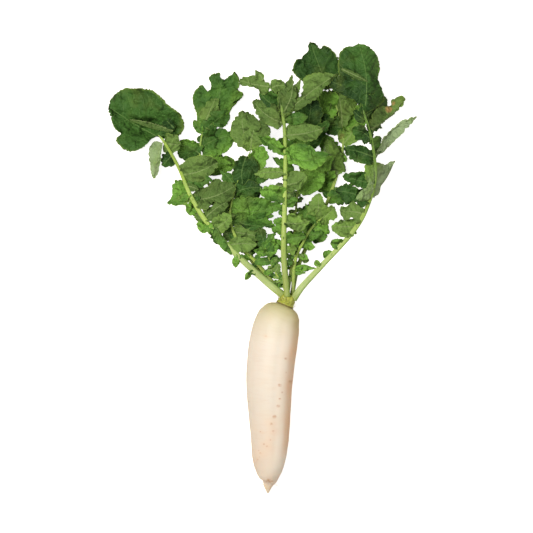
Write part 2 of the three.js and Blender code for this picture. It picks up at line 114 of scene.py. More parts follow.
def frame_along(path):
    """For a row of points: the way forward, the level way across, and the way up from both."""
    forward = unit(np.gradient(path, axis=0))
    across = unit(np.stack([forward[:, 1], -forward[:, 0], 0 * forward[:, 0]], axis=-1))
    return forward, across, np.cross(across, forward)


print("half way through (0, 0), (1, 2), (2, 0):", curve_through([[0, 0], [1, 2], [2, 0]], 0.5))

# %% [markdown]
# ## From grids of points to meshes
# A surface here is always a grid: rows run along the piece, columns across or around it. Four
# neighbouring grid points make one face. A tube's columns close on themselves, and a leaf is
# two such sheets, one above the other, joined by a rim. Drawing each face by hand or with a
# modifier would also work. Working with whole arrays is quick even for a million points, and
# one formula then rules the whole surface.

# %% Faces of tubes and sheets
TUBE_SIDES = 6


def tube_faces(rows, columns, first=0):
    """Quads of a closed tube, and one many-sided cap at each end."""
    ring = np.arange(columns)
    beside = (ring + 1) % columns
    start = first + np.arange(rows - 1)[:, None] * columns
    quads = np.stack([start + ring, start + columns + ring,
                      start + columns + beside, start + beside], axis=-1)
    last = first + (rows - 1) * columns
    caps = [list(first + ring), list(last + ring[::-1])]
    return quads.reshape(-1, 4).tolist() + caps


def thin_tube(path, radii, sides=TUBE_SIDES):
    """A ring of points round every point of the path, each with its own radius."""
    _, across, up = frame_along(path)
    angle = np.linspace(0, 2 * np.pi, sides, endpoint=False)
    around = (np.cos(angle)[:, None] * across[:, None] + np.sin(angle)[:, None] * up[:, None])
    return path[:, None] + np.asarray(radii)[:, None, None] * around


def sheet_faces(rows, columns, first=0):
    """Quads of the upper sheet, of the lower sheet turned over, and of the rim round them."""
    index = first + np.arange(rows * columns).reshape(rows, columns)
    upper = np.stack([index[:-1, :-1], index[1:, :-1], index[1:, 1:], index[:-1, 1:]], axis=-1)
    under = upper[..., ::-1] + rows * columns
    border = np.concatenate([index[0, :-1], index[:-1, -1], index[-1, :0:-1], index[:0:-1, 0]])
    after = np.roll(border, -1)
    rim = np.stack([border, after, after + rows * columns, border + rows * columns], axis=-1)
    return [f for part in (upper, under, rim) for f in part.reshape(-1, 4).tolist()]


print("faces of a tube of 3 rings of 4:", len(tube_faces(3, 4)))


# %% Point store
class PointStore:
    """Gathers the points, faces and per-point values of the surfaces that make one piece."""

    def __init__(self):
        self.points, self.faces, self.slots, self.values = [], [], [], {}
        self.count = 0

    def add(self, points, faces_of, slot=0, **values):
        """Adds grids of points. faces_of is the function that gives the faces of a grid of so
        many rows and columns, counted from its first point's number."""
        flat = points.reshape(-1, 3)
        faces = faces_of(*points.shape[-3:-1], self.count)
        self.points.append(flat)
        self.faces.extend(faces)
        self.slots.extend([slot] * len(faces))
        for name, value in values.items():
            full = np.broadcast_to(value, points.shape[:-1]).reshape(-1)
            self.values.setdefault(name, []).append(full)
        self.count += len(flat)

    def build(self, name, materials):
        """The finished object, in metres, with one float attribute for each kind of value."""
        mesh = bpy.data.meshes.new(name)
        mesh.from_pydata((np.vstack(self.points) * MM).tolist(), [], self.faces)
        for value_name, parts in self.values.items():
            attribute = mesh.attributes.new(value_name, "FLOAT", "POINT")
            attribute.data.foreach_set("value", np.concatenate(parts).astype(np.float32))
        for material in materials:
            mesh.materials.append(material)
        mesh.polygons.foreach_set("material_index", np.array(self.slots, np.int32))
        mesh.polygons.foreach_set("use_smooth", np.ones(len(self.faces), bool))
        mesh.update()
        mesh.validate()
        return link_object(name, mesh)


# %% Objects and their place on the plant
def link_object(name, data):
    """A new object of that data, linked into the scene."""
    made = bpy.data.objects.new(name, data)
    bpy.context.scene.collection.objects.link(made)
    return made


def settle(piece, node):
    """Rides a finished piece on the plant, in place of the plain solid of that node."""
    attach(piece, "root")
    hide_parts(node)
    triangles = sum(len(p.vertices) - 2 for p in piece.data.polygons)
    print(f"{piece.name}: {triangles} triangles")

# %% [markdown]
# ## Shader tools
# A finish is a small network of nodes. Typing each node and each link takes many lines, so one
# helper fills a node's sockets and links whatever is itself a socket. Short names for the sums
# that come up again and again keep the finishes readable. Effects that are placed many times,
# such as a row of pores or the veins, become node groups.

# %% Placing nodes
def fill(tree, node, **inputs):
    """Fills a node's inputs: i0, i1 ... name them by number, other words by name, with _ for a
    space. A socket is linked, and any other value is set."""
    for key, value in inputs.items():
        numbered = key[0] == "i" and key[1:].isdigit()
        socket = node.inputs[int(key[1:]) if numbered else key.replace("_", " ")]
        if isinstance(value, bpy.types.NodeSocket):
            tree.links.new(value, socket)
        else:
            socket.default_value = value
    return node


def place(tree, kind, operation=None, **inputs):
    """A new node with its inputs filled."""
    node = tree.nodes.new(kind)
    if operation:
        node.operation = operation
    return fill(tree, node, **inputs)


def new_material(name):
    """An empty material, its node tree and its Principled shader."""
    material = bpy.data.materials.new(name)
    material.use_nodes = True
    tree = material.node_tree
    return material, tree, tree.nodes["Principled BSDF"]


# %% Node groups
def new_group(name, inputs, outputs):
    """An empty node group of plain numbers, and the sockets that its inputs arrive at."""
    group = bpy.data.node_groups.new(name, "ShaderNodeTree")
    for way, names in (("INPUT", inputs), ("OUTPUT", outputs)):
        for socket_name in names:
            group.interface.new_socket(socket_name, in_out=way, socket_type="NodeSocketFloat")
    start = group.nodes.new("NodeGroupInput").outputs
    return group, [start[n] for n in inputs]


def close_group(group, **outputs):
    """The group with its results linked to its outputs."""
    place(group, "NodeGroupOutput", **outputs)
    print(f"{group.name}: {len(group.nodes)} nodes")
    return group


def use_group(tree, group, **inputs):
    """The outputs of one placed copy of a group."""
    node = tree.nodes.new("ShaderNodeGroup")
    node.node_tree = group
    return fill(tree, node, **inputs).outputs


# %% Sums, ramps and tints
def maths(tree, operation, a, b=0.0, c=0.0):
    """The result of one sum on values or sockets."""
    return place(tree, "ShaderNodeMath", operation, i0=a, i1=b, i2=c).outputs[0]


def times(tree, a, b):
    """a * b."""
    return maths(tree, "MULTIPLY", a, b)


def line(tree, x, slope, start):
    """slope * x + start."""
    return maths(tree, "MULTIPLY_ADD", x, slope, start)


def off_middle(tree, x):
    """x - 0.5, which swings a noise evenly about 0."""
    return maths(tree, "SUBTRACT", x, 0.5)


def ramp_value(tree, x, low, high):
    """0 where x is below low, 1 above high, smooth between. low may be above high."""
    node = tree.nodes.new("ShaderNodeMapRange")
    node.interpolation_type = "SMOOTHSTEP"
    return fill(tree, node, i0=x, i1=low, i2=high, i3=0.0, i4=1.0).outputs[0]


def blend_colour(tree, factor, a, b):
    """Colour a where the factor is 0 and colour b where it is 1."""
    node = tree.nodes.new("ShaderNodeMix")
    node.data_type = "RGBA"
    return fill(tree, node, i0=factor, i6=a, i7=b).outputs[2]


def tinted(tree, colour, tints):
    """The colour after each tint in turn. A tint is (mask, share, colour), and it blends its
    colour in by mask * share."""
    for mask, share, added in tints:
        colour = blend_colour(tree, times(tree, mask, share), colour, added)
    return colour


# %% Places, patterns and bumps
def own_place(tree):
    """Where the point lies, in the piece's own metres."""
    return tree.nodes.new("ShaderNodeTexCoord").outputs["Object"]


def attribute(tree, name):
    """The value that the mesh keeps under that name."""
    node = tree.nodes.new("ShaderNodeAttribute")
    node.attribute_name = name
    return node.outputs["Fac"]


def grain_vector(tree, across, along, depth=0.0):
    """A place in a pattern that is stretched by giving each direction its own measure."""
    return place(tree, "ShaderNodeCombineXYZ", X=across, Y=along, Z=depth).outputs[0]


def noise(tree, vector, scale, detail=3.0, roughness=0.5):
    """Soft cloudy noise from 0 to 1."""
    return place(tree, "ShaderNodeTexNoise", Vector=vector, Scale=scale, Detail=detail,
                 Roughness=roughness).outputs["Fac"]


def bump(tree, height, strength, depth):
    """A surface direction that shows the height by its shading, depth metres for each 1."""
    return place(tree, "ShaderNodeBump", Height=height, Strength=strength,
                 Distance=depth).outputs[0]


# %% [markdown]
# ## The root
# The root is a round body along a gently bent axis: a broad shoulder, a long even belly and a
# short cone that ends in a thin tail. It could be modelled by bending a cylinder with a lattice.
# Here a ring of points is carried along the axis instead, with its radius read from a smooth
# curve, so the outline is exact and every point knows how far along and round the root it lies.
# Those two numbers later place the pores and the growth rings.

# %% Root stations
# [x, y, z, radius] from the crown's seat to the tail's tip. The solid root is the same down to
# y = -64, and up to 1.5 mm slimmer below that.
ROOT_STATIONS = np.array([
    [18.1, 99.4, 31.5, 11.5],
    [16.58, 95.7, 31.5, 19.5],
    [13.6, 88.5, 31.2, 25.0],
    [9.2, 77.0, 30.6, 28.6],
    [5.2, 58.0, 30.0, 30.4],
    [1.6, 32.0, 29.8, 30.4],
    [-0.8, 0.0, 28.6, 29.1],
    [-0.6, -34.0, 26.2, 26.7],
    [-0.2, -64.0, 23.8, 24.2],
    [-1.2, -90.0, 21.1, 21.5],
    [-1.1, -108.0, 16.8, 16.5],
    [-0.7, -117.0, 14.1, 11.3],
    [-1.4, -121.5, 12.7, 7.9],
    [-2.4, -127.0, 11.4, 5.2],
    [-2.6, -135.5, 9.8, 0.9],
])
DENT = 0.5
GIRDLE = 0.16
ROOT_FLOOR = 0.03


def root_surface(t, angle):
    """axis(t) + radius(t) * (cos(angle) * across + sin(angle) * up), less shallow dents and
    fine girdles, and never below the table, which presses the belly flat."""
    stations = curve_through(ROOT_STATIONS, t)
    axis, radius = stations[:, :3], stations[:, 3]
    _, across, up = frame_along(axis)
    dents = DENT * (0.5 + 0.25 * np.sin(2 * angle + 5 * t[:, None])
                    + 0.25 * np.sin(3 * angle - 9 * t[:, None] + 1.3))
    girdle = GIRDLE * (0.5 + 0.5 * np.sin(110 * t[:, None] + 4 * np.sin(9 * t[:, None])))
    reach = radius[:, None] - (dents + girdle) * smooth(0, 12, radius)[:, None]
    points = (axis[:, None] + reach[..., None] * (
        np.cos(angle)[..., None] * across[:, None] + np.sin(angle)[..., None] * up[:, None]))
    points[..., 2] = np.maximum(points[..., 2], ROOT_FLOOR)
    return points


print("root length:", ROOT_STATIONS[0, 1] - ROOT_STATIONS[-1, 1], "mm, thickest:",
      2 * ROOT_STATIONS[:, 3].max(), "mm")

# %% [markdown]
# The skin carries a few hair roots, mostly round the tail. Each is a thin tube along a curved
# line that droops as it leaves the skin. Blender's hair would look alike, but only real mesh is
# kept when the part is exported. Scars of shed side roots are kept as a list of small spots,
# and each skin point is told how near it is to one.

# %% Hair roots
HAIR_ROOTS = 14
HAIR_STEPS = 9
HAIR_RADIUS = 0.26
HAIR_FLOOR = 0.3


def hair_root(number):
    """A line that leaves the skin outwards and bends down and back as the square of its run."""
    t = 0.45 + 0.46 * chance(number) ** 0.5
    side = np.where(chance(number + 50) < 0.5, 0.1, np.pi - 0.1)
    angle = side + 1.5 * (chance(number + 90) - 0.4)
    near = root_surface(np.array([t - 0.01, t, t + 0.01]), np.full((3, 1), angle))[1, 0]
    centre = curve_through(ROOT_STATIONS, np.array([t]))[0, :3]
    outward = unit(near - centre)
    run = np.linspace(0, 1, HAIR_STEPS)[:, None]
    length = 2.5 + 6.5 * chance(number + 130) * smooth(0.5, 0.95, t)
    sway = 0.8 * (chance(number + 170) - 0.5)
    path = near - 0.5 * outward + length * (
        run * outward + run**2 * np.array([sway, -0.5, -0.5 * outward[2] - 0.1]))
    path[:, 2] = np.maximum(path[:, 2], HAIR_FLOOR)
    return thin_tube(path, HAIR_RADIUS * (1 - 0.8 * run[:, 0]))


print("hair roots:", HAIR_ROOTS)


# %% Scars
# [x, y, radius] of the scars that side roots left on the upper side: a loose row that slants
# from the right of the shoulder to the left of the tail.
SCARS = ((19.5, 34, 1.8), (20, 17, 1.1), (25.5, 5, 2.8), (12, 1, 2.4), (15, -8, 1.3),
         (12, -16, 1.6), (10, -25, 2.2), (5.5, -38, 2.5), (1.5, -47, 1.9), (4, -56, 1.5),
         (-12, -57, 1.0), (0.5, -67, 1.1), (-7.5, -72.5, 1.3), (-4, -75, 1.4), (-12, -84, 1.3),
         (-14, -81, 0.9), (-15, -92, 1.0), (-13, -89, 0.8), (-5, 62, 0.8), (-2, -118.5, 2.6),
         (-3.6, -119.6, 1.5), (-0.6, -120.4, 1.9), (2.4, -119.8, 1.6))
SCAR_WIDENING = 1.3
FLUSH_REACH = 4.5


def scar_shade(points, upper, reach=1.0):
    """How dark each skin point is: for every scar, e to the minus (distance / radius)^2, wider
    across than along, and only on the upper side. reach widens them all."""
    shade = np.zeros(points.shape[:-1])
    for x, y, radius in SCARS:
        distance = np.hypot((points[..., 0] - x) / SCAR_WIDENING, points[..., 1] - y)
        shade = np.maximum(shade, np.exp(-((distance / (radius * reach)) ** 2)))
    return shade * upper


print("scars:", len(SCARS))

# %% Root mesh
ROOT_ROWS = 300
ROOT_COLUMNS = 200


def build_root(material):
    """The root's skin and its hair roots in one piece."""
    store = PointStore()
    t = np.linspace(0, 1, ROOT_ROWS)
    angle = np.broadcast_to(np.linspace(0, 2 * np.pi, ROOT_COLUMNS, endpoint=False),
                            (ROOT_ROWS, ROOT_COLUMNS))
    points = root_surface(t, angle)
    store.add(points, tube_faces, along=t[:, None], around_x=np.cos(angle),
              around_y=np.sin(angle), scar=scar_shade(points, np.sin(angle) > 0),
              flush=scar_shade(points, smooth(-0.2, 0.4, np.sin(angle)), FLUSH_REACH))
    for number in range(HAIR_ROOTS):
        store.add(hair_root(number), tube_faces, along=1.0, around_x=0.0, around_y=0.0,
                  scar=0.0, flush=0.0)
    return store.build("root_skin", [material])


# %% [markdown]
# ## The root's skin
# Daikon skin is ivory and slightly see-through, so light spreads under it. Near the crown it
# turns yellow-green where the sun reached it. Tan pores sit in loose rows where side roots were,
# and faint rings run round the body. Painting a picture would be one way. Node patterns stay
# sharp at any distance and need no picture file, so the skin is built from them.

# %% Pore group
def make_pore_group():
    """One loose row of pores. The row is cut into cells; a cell holds one flat oval that is
    moved and sized by the cell's own chance, and is left out in some cells. The halo round a
    pore is 2.6 times as wide."""
    group, (run, aside, seed, spread) = new_group(
        "pore_row", ("Run", "Aside", "Seed", "Spread"), ("Pore", "Halo"))
    dice = place(group, "ShaderNodeTexWhiteNoise",
                 Vector=grain_vector(group, maths(group, "FLOOR", run), seed))
    chances = place(group, "ShaderNodeSeparateColor", Color=dice.outputs["Color"]).outputs
    shift = times(group, off_middle(group, chances[0]), spread)
    wide = times(group, maths(group, "SUBTRACT", aside, shift), 0.85)
    tall = times(group, maths(group, "SUBTRACT", maths(group, "FRACT", run),
                              line(group, chances[1], 0.6, 0.2)), 11.0)
    distance = place(group, "ShaderNodeVectorMath", "LENGTH",
                     i0=grain_vector(group, wide, tall)).outputs["Value"]
    size = line(group, dice.outputs["Value"], 1.4, 0.25)
    present = maths(group, "GREATER_THAN", chances[2], 0.35)
    pore = ramp_value(group, distance, size, times(group, size, 0.35))
    halo = ramp_value(group, distance, times(group, size, 2.6), 0.0)
    return close_group(group, Pore=times(group, pore, present), Halo=times(group, halo, present))


PORES = make_pore_group()

# %% Rows of pores
# (angle round the root, seed, cells along it) of each row, how far its pores stray from its
# middle, and how many of those steps a quarter turn has.
PORE_ROWS = ((0.25, 2.0, 46.0), (2.9, 13.0, 44.0), (3.9, 19.0, 40.0), (5.3, 23.0, 46.0))
PORE_SCATTER = 12.0
PORE_STEPS = 26.0


def pore_rows(tree, along, x, y):
    """The strongest pore and halo of all rows. For a row at angle A, y cos(A) - x sin(A) is the
    way aside from it, and the row shows where x cos(A) + y sin(A) is above 0."""
    pores = halos = 0.0
    for angle, seed, count in PORE_ROWS:
        sine, cosine = float(np.sin(angle)), float(np.cos(angle))
        facing = maths(tree, "GREATER_THAN", line(tree, x, cosine, times(tree, y, sine)), 0.0)
        aside = maths(tree, "SUBTRACT", times(tree, y, cosine), times(tree, x, sine))
        row = use_group(tree, PORES, Run=times(tree, along, count),
                        Aside=times(tree, aside, PORE_STEPS), Seed=seed, Spread=PORE_SCATTER)
        pores = maths(tree, "MAXIMUM", pores, times(tree, row["Pore"], facing))
        halos = maths(tree, "MAXIMUM", halos, times(tree, row["Halo"], facing))
    return pores, halos


print("rows of pores:", len(PORE_ROWS))

# %% Skin shades
IVORY = (0.85, 0.74, 0.60, 1)
IVORY_LIGHT = (0.91, 0.82, 0.70, 1)
RING_TAN = (0.80, 0.63, 0.46, 1)
STREAK_TAN = (0.82, 0.68, 0.50, 1)
PORE_TAN = (0.50, 0.30, 0.15, 1)
HALO_TAN = (0.80, 0.60, 0.38, 1)
SCAR_BROWN = (0.64, 0.35, 0.17, 1)
FLUSH_TAN = (0.88, 0.62, 0.42, 1)
# A painted warm shade for the root's right flank.
RIGHT_FLANK_PAINTED_SHADE = (0.90, 0.56, 0.32, 1)
# A painted grey shade for the root's left edge, where its side turns away from the light.
LEFT_EDGE_PAINTED_SHADE = (0.66, 0.58, 0.46, 1)
# A painted shade just left of the root's middle, which tones down the light from the upper left.
LEFT_PAINTED_SHADE = (0.72, 0.61, 0.50, 1)
# A pale ivory for painted light: a painted highlight right of the root's middle, and a lit lower
# end.
PAINTED_LIGHT_IVORY = (1.0, 0.86, 0.70, 1)
SHOULDER_GREEN = (0.60, 0.54, 0.24, 1)
SHOULDER_OLIVE = (0.50, 0.40, 0.14, 1)
RIM_BROWN = (0.25, 0.20, 0.05, 1)
TAIL_TAN = (0.96, 0.74, 0.50, 1)


def body_tints_and_painted_light(tree, along, x, blotch):
    """Tints down the body, where x is 1 at the left flank and -1 at the right: painted shade left
    of the middle, a flush on the lower half, painted warm shade on the right flank, painted grey
    shade on the left one, a painted highlight band right of the middle and painted light on the
    lower end."""
    # Painted shade left of the middle.
    left_shade = times(tree, ramp_value(tree, x, -0.1, 0.5), ramp_value(tree, x, 1.0, 0.7))
    lower = ramp_value(tree, line(tree, blotch, 0.3, along), 0.60, 0.85)
    # Painted warm shade down the right flank.
    flank = times(tree, ramp_value(tree, line(tree, blotch, -0.2, x), -0.5, -1.05),
                  line(tree, blotch, 1.1, 0.25))
    flank = times(tree, flank, ramp_value(tree, along, 0.72, 0.58))
    # A painted highlight band right of the middle.
    sheen = times(tree, ramp_value(tree, x, -0.15, -0.42), ramp_value(tree, x, -0.80, -0.55))
    # Painted light on the lower end, which turns away from the lamps.
    end = ramp_value(tree, line(tree, x, -0.05, along), 0.60, 0.71)
    return ((left_shade, 0.32, LEFT_PAINTED_SHADE), (lower, 0.45, FLUSH_TAN), (flank, 0.9, RIGHT_FLANK_PAINTED_SHADE),
            # Painted grey shade on the left edge.
            (ramp_value(tree, x, 0.45, 1.05), 0.15, LEFT_EDGE_PAINTED_SHADE), (sheen, 0.65, PAINTED_LIGHT_IVORY),
            (end, 0.9, PAINTED_LIGHT_IVORY))


def end_tints(tree, along, x, blotch, streak):
    """Tints at the two ends: a green shoulder, olive at its sides, a brown rim, a tan tail."""
    shoulder = ramp_value(tree, line(tree, blotch, 0.09, along), 0.40, 0.05)
    sides = line(tree, ramp_value(tree, x, 0.6, 1.1), 0.1, ramp_value(tree, x, -0.55, -1.05))
    sides = times(tree, sides, ramp_value(tree, along, 0.40, 0.10))
    rim = ramp_value(tree, line(tree, streak, 0.02, along), 0.024, 0.012)
    tail = ramp_value(tree, line(tree, streak, 0.06, along), 0.86, 0.97)
    return ((shoulder, 0.95, SHOULDER_GREEN), (sides, 0.55, SHOULDER_OLIVE),
            (rim, 0.8, RIM_BROWN), (tail, 0.8, TAIL_TAN))


# %% Skin material
def rings(tree, run, x, y, turn, *kind):
    """Noise that changes quickly along the root, with the run, and slowly round it."""
    place_in = grain_vector(tree, run, times(tree, x, turn), times(tree, y, turn))
    return noise(tree, place_in, *kind)


def skin_material():
    """Ivory skin: slow blotches, growth rings, pore rows, scars, the tints of its parts, and
    painted light and shade down the body.
    """
    material, tree, shader = new_material("root_skin")
    place_in = own_place(tree)
    along, x, y = (attribute(tree, n) for n in ("along", "around_x", "around_y"))
    blotch = noise(tree, place_in, 28, 4)
    wander = noise(tree, place_in, 14, 2)
    streak = noise(tree, grain_vector(tree, times(tree, x, 26.0), times(tree, along, 5.0),
                                      times(tree, y, 26.0)), 1.0, 4)
    broad = rings(tree, line(tree, along, 95.0, times(tree, wander, 2.2)), x, y, 0.9,
                  1.6, 5, 0.65)
    fine = rings(tree, line(tree, along, 170.0, wander), x, y, 1.6, 1.0, 3)
    pores, halos = pore_rows(tree, along, x, y)
    body = ramp_value(tree, along, 0.05, 0.13)
    flush = times(tree, attribute(tree, "flush"), ramp_value(tree, blotch, 0.3, 0.7))
    ragged = times(tree, attribute(tree, "scar"), line(tree, noise(tree, place_in, 420, 2),
                                                       1.3, 0.2))
    colour = tinted(tree, blend_colour(tree, blotch, IVORY, IVORY_LIGHT), (
        (ramp_value(tree, broad, 0.58, 0.72), 0.30, RING_TAN),
        (ramp_value(tree, fine, 0.42, 0.75), 0.22, RING_TAN),
        (ramp_value(tree, streak, 0.55, 0.8), 0.14, STREAK_TAN),
        (halos, 0.25, HALO_TAN),
        (times(tree, pores, body), 0.5, PORE_TAN),
        *body_tints_and_painted_light(tree, along, x, blotch),
        (flush, 0.42, FLUSH_TAN),
        (ramp_value(tree, ragged, 0.15, 1.25), 1.0, SCAR_BROWN),
        *end_tints(tree, along, x, blotch, streak)))
    height = maths(tree, "SUBTRACT", times(tree, broad, 0.5), times(tree, pores, 0.5))
    height = line(tree, fine, 0.4, line(tree, streak, 0.25, height))
    fill(tree, shader, Base_Color=colour,
         Roughness=line(tree, pores, 0.25, line(tree, blotch, 0.12, 0.36)),
         Subsurface_Weight=0.2, Subsurface_Radius=(1.0, 0.7, 0.5), Subsurface_Scale=0.003,
         Specular_IOR_Level=0.20, Normal=bump(tree, height, 0.5, 0.7 * MM))
    return material


settle(build_root(skin_material()), "root")

# %% [markdown]
# ## The crown
# The crown is the plant's short stem. Every leaf grows from it, and each shed leaf leaves a scar
# ring or a dry stub. It is a dome carried along the same leaning axis as the root's top, with
# ridges where leaf stalks pressed on it and pointed stubs and dry wisps round its foot.

# %% Crown surface
SEAT = ROOT_STATIONS[0, :3]
CROWN_AXIS = unit(np.array([0.38, 0.925, 0.0]))
CROWN_ACROSS = np.array([CROWN_AXIS[1], -CROWN_AXIS[0], 0.0])
UP = np.array([0.0, 0.0, 1.0])
CROWN_RADIUS = 11.5
CROWN_LENGTH = 15.5


def crown_outward(angle):
    """The way outwards from the crown's axis at that angle round it."""
    return np.cos(angle) * CROWN_ACROSS + np.sin(angle) * UP


def crown_surface(t, angle):
    """Dome: radius * scar swelling * sqrt(1 - s^2) towards the top, with ridges round it that
    follow a cosine and fine rings that follow a sine of the height."""
    swelling = 1 - 0.12 * smooth(0.12, 0.3, t)
    dome = np.sqrt(np.maximum(0, 1 - np.maximum(0, (t - 0.55) / 0.45) ** 2))
    ridges = 1 - 0.10 * (0.5 + 0.5 * np.cos(9 * angle + 3 * t)) ** 2 * smooth(0.05, 0.3, t)
    grooves = 1 - 0.025 * (0.5 + 0.5 * np.sin(60 * t)) * smooth(0.5, 0.2, t)
    radius = CROWN_RADIUS * swelling * dome * ridges * grooves
    height = 0.1 + CROWN_LENGTH * t
    return (SEAT + height[..., None] * CROWN_AXIS
            + (radius * np.cos(angle))[..., None] * CROWN_ACROSS
            + (radius * np.sin(angle))[..., None] * UP)


print("crown:", 2 * CROWN_RADIUS, "mm wide,", CROWN_LENGTH, "mm high")


# %% Stubs and wisps
STUB_COUNT = 6
STUB_STEPS = 14
STUB_SIDES = 10
FIBRE_COUNT = 12
FIBRE_STEPS = 7


def scar_stub(index):
    """A pointed, curled scale: a tube whose radius falls to nothing as the run's 1.4 power."""
    outward = crown_outward(((index + 0.6 * chance(index)) / STUB_COUNT) * 2 * np.pi)
    foot = SEAT + 4.0 * CROWN_AXIS + CROWN_RADIUS * 0.62 * outward
    lean = unit(CROWN_AXIS + (0.9 + 0.4 * chance(index + 20)) * outward)
    length = 5.5 + 2.5 * chance(index + 40)
    run = np.linspace(0, 1, STUB_STEPS)[:, None]
    path = foot + length * (run * lean - 0.18 * run**2 * outward)
    return thin_tube(path, 2.3 * (1 - run[:, 0] ** 1.4) + 0.15, STUB_SIDES), run


def dry_fibre(index):
    """A wisp left by an old leaf base: a thin tube from the crown's foot, outwards and up."""
    outward = crown_outward((index + chance(index + 60)) / FIBRE_COUNT * 2 * np.pi)
    foot = SEAT + (1.5 + 2.5 * chance(index + 70)) * CROWN_AXIS + CROWN_RADIUS * 0.93 * outward
    length = 3.0 + 3.5 * chance(index + 80)
    lean = unit(outward + (0.5 + 0.9 * chance(index + 85)) * CROWN_AXIS)
    run = np.linspace(0, 1, FIBRE_STEPS)[:, None]
    path = foot - 0.8 * outward + length * (run * lean + 0.35 * run**2 * CROWN_AXIS)
    return thin_tube(path, 0.42 * (1 - 0.75 * run[:, 0]))


print("stubs:", STUB_COUNT, "wisps:", FIBRE_COUNT)


# %% Crown mesh
CROWN_ROWS = 50
CROWN_COLUMNS = 72


def build_crown(material):
    """Dome, stubs and wisps in one piece, with how dry each point is."""
    store = PointStore()
    t, angle = np.broadcast_arrays(
        np.linspace(0, 1, CROWN_ROWS)[:, None],
        np.linspace(0, 2 * np.pi, CROWN_COLUMNS, endpoint=False)[None, :])
    store.add(crown_surface(t, angle), tube_faces, dry=smooth(0.16, 0.03, t))
    for index in range(STUB_COUNT):
        tube, run = scar_stub(index)
        store.add(tube, tube_faces, dry=0.15 + 0.6 * smooth(0.55, 1, run))
    for index in range(FIBRE_COUNT):
        store.add(dry_fibre(index), tube_faces, dry=0.45)
    return store.build("crown_stem", [material])


# %% Crown material
CROWN_GREEN = (0.27, 0.31, 0.025, 1)
CROWN_YELLOW = (0.60, 0.60, 0.10, 1)
DRY_DARK = (0.08, 0.065, 0.015, 1)
DRY_LIGHT = (0.34, 0.27, 0.07, 1)
SPECK_BROWN = (0.09, 0.06, 0.02, 1)


def crown_material():
    """Cloudy yellow-green with dark specks, brown and rough where the plant is dry."""
    material, tree, shader = new_material("crown_green")
    place_in = own_place(tree)
    cloud = noise(tree, place_in, 240, 4)
    fine = noise(tree, place_in, 900, 3)
    dryness = ramp_value(tree, line(tree, cloud, 0.5, attribute(tree, "dry")), 0.45, 0.85)
    colour = tinted(tree, blend_colour(tree, cloud, CROWN_GREEN, CROWN_YELLOW), (
        (dryness, 1.0, blend_colour(tree, fine, DRY_DARK, DRY_LIGHT)),
        (ramp_value(tree, fine, 0.66, 0.72), 0.5, SPECK_BROWN)))
    fill(tree, shader, Base_Color=colour, Roughness=line(tree, dryness, 0.35, 0.42),
         Normal=bump(tree, maths(tree, "ADD", cloud, fine), 0.5, 0.6 * MM))
    return material


settle(build_crown(crown_material()), "crown")
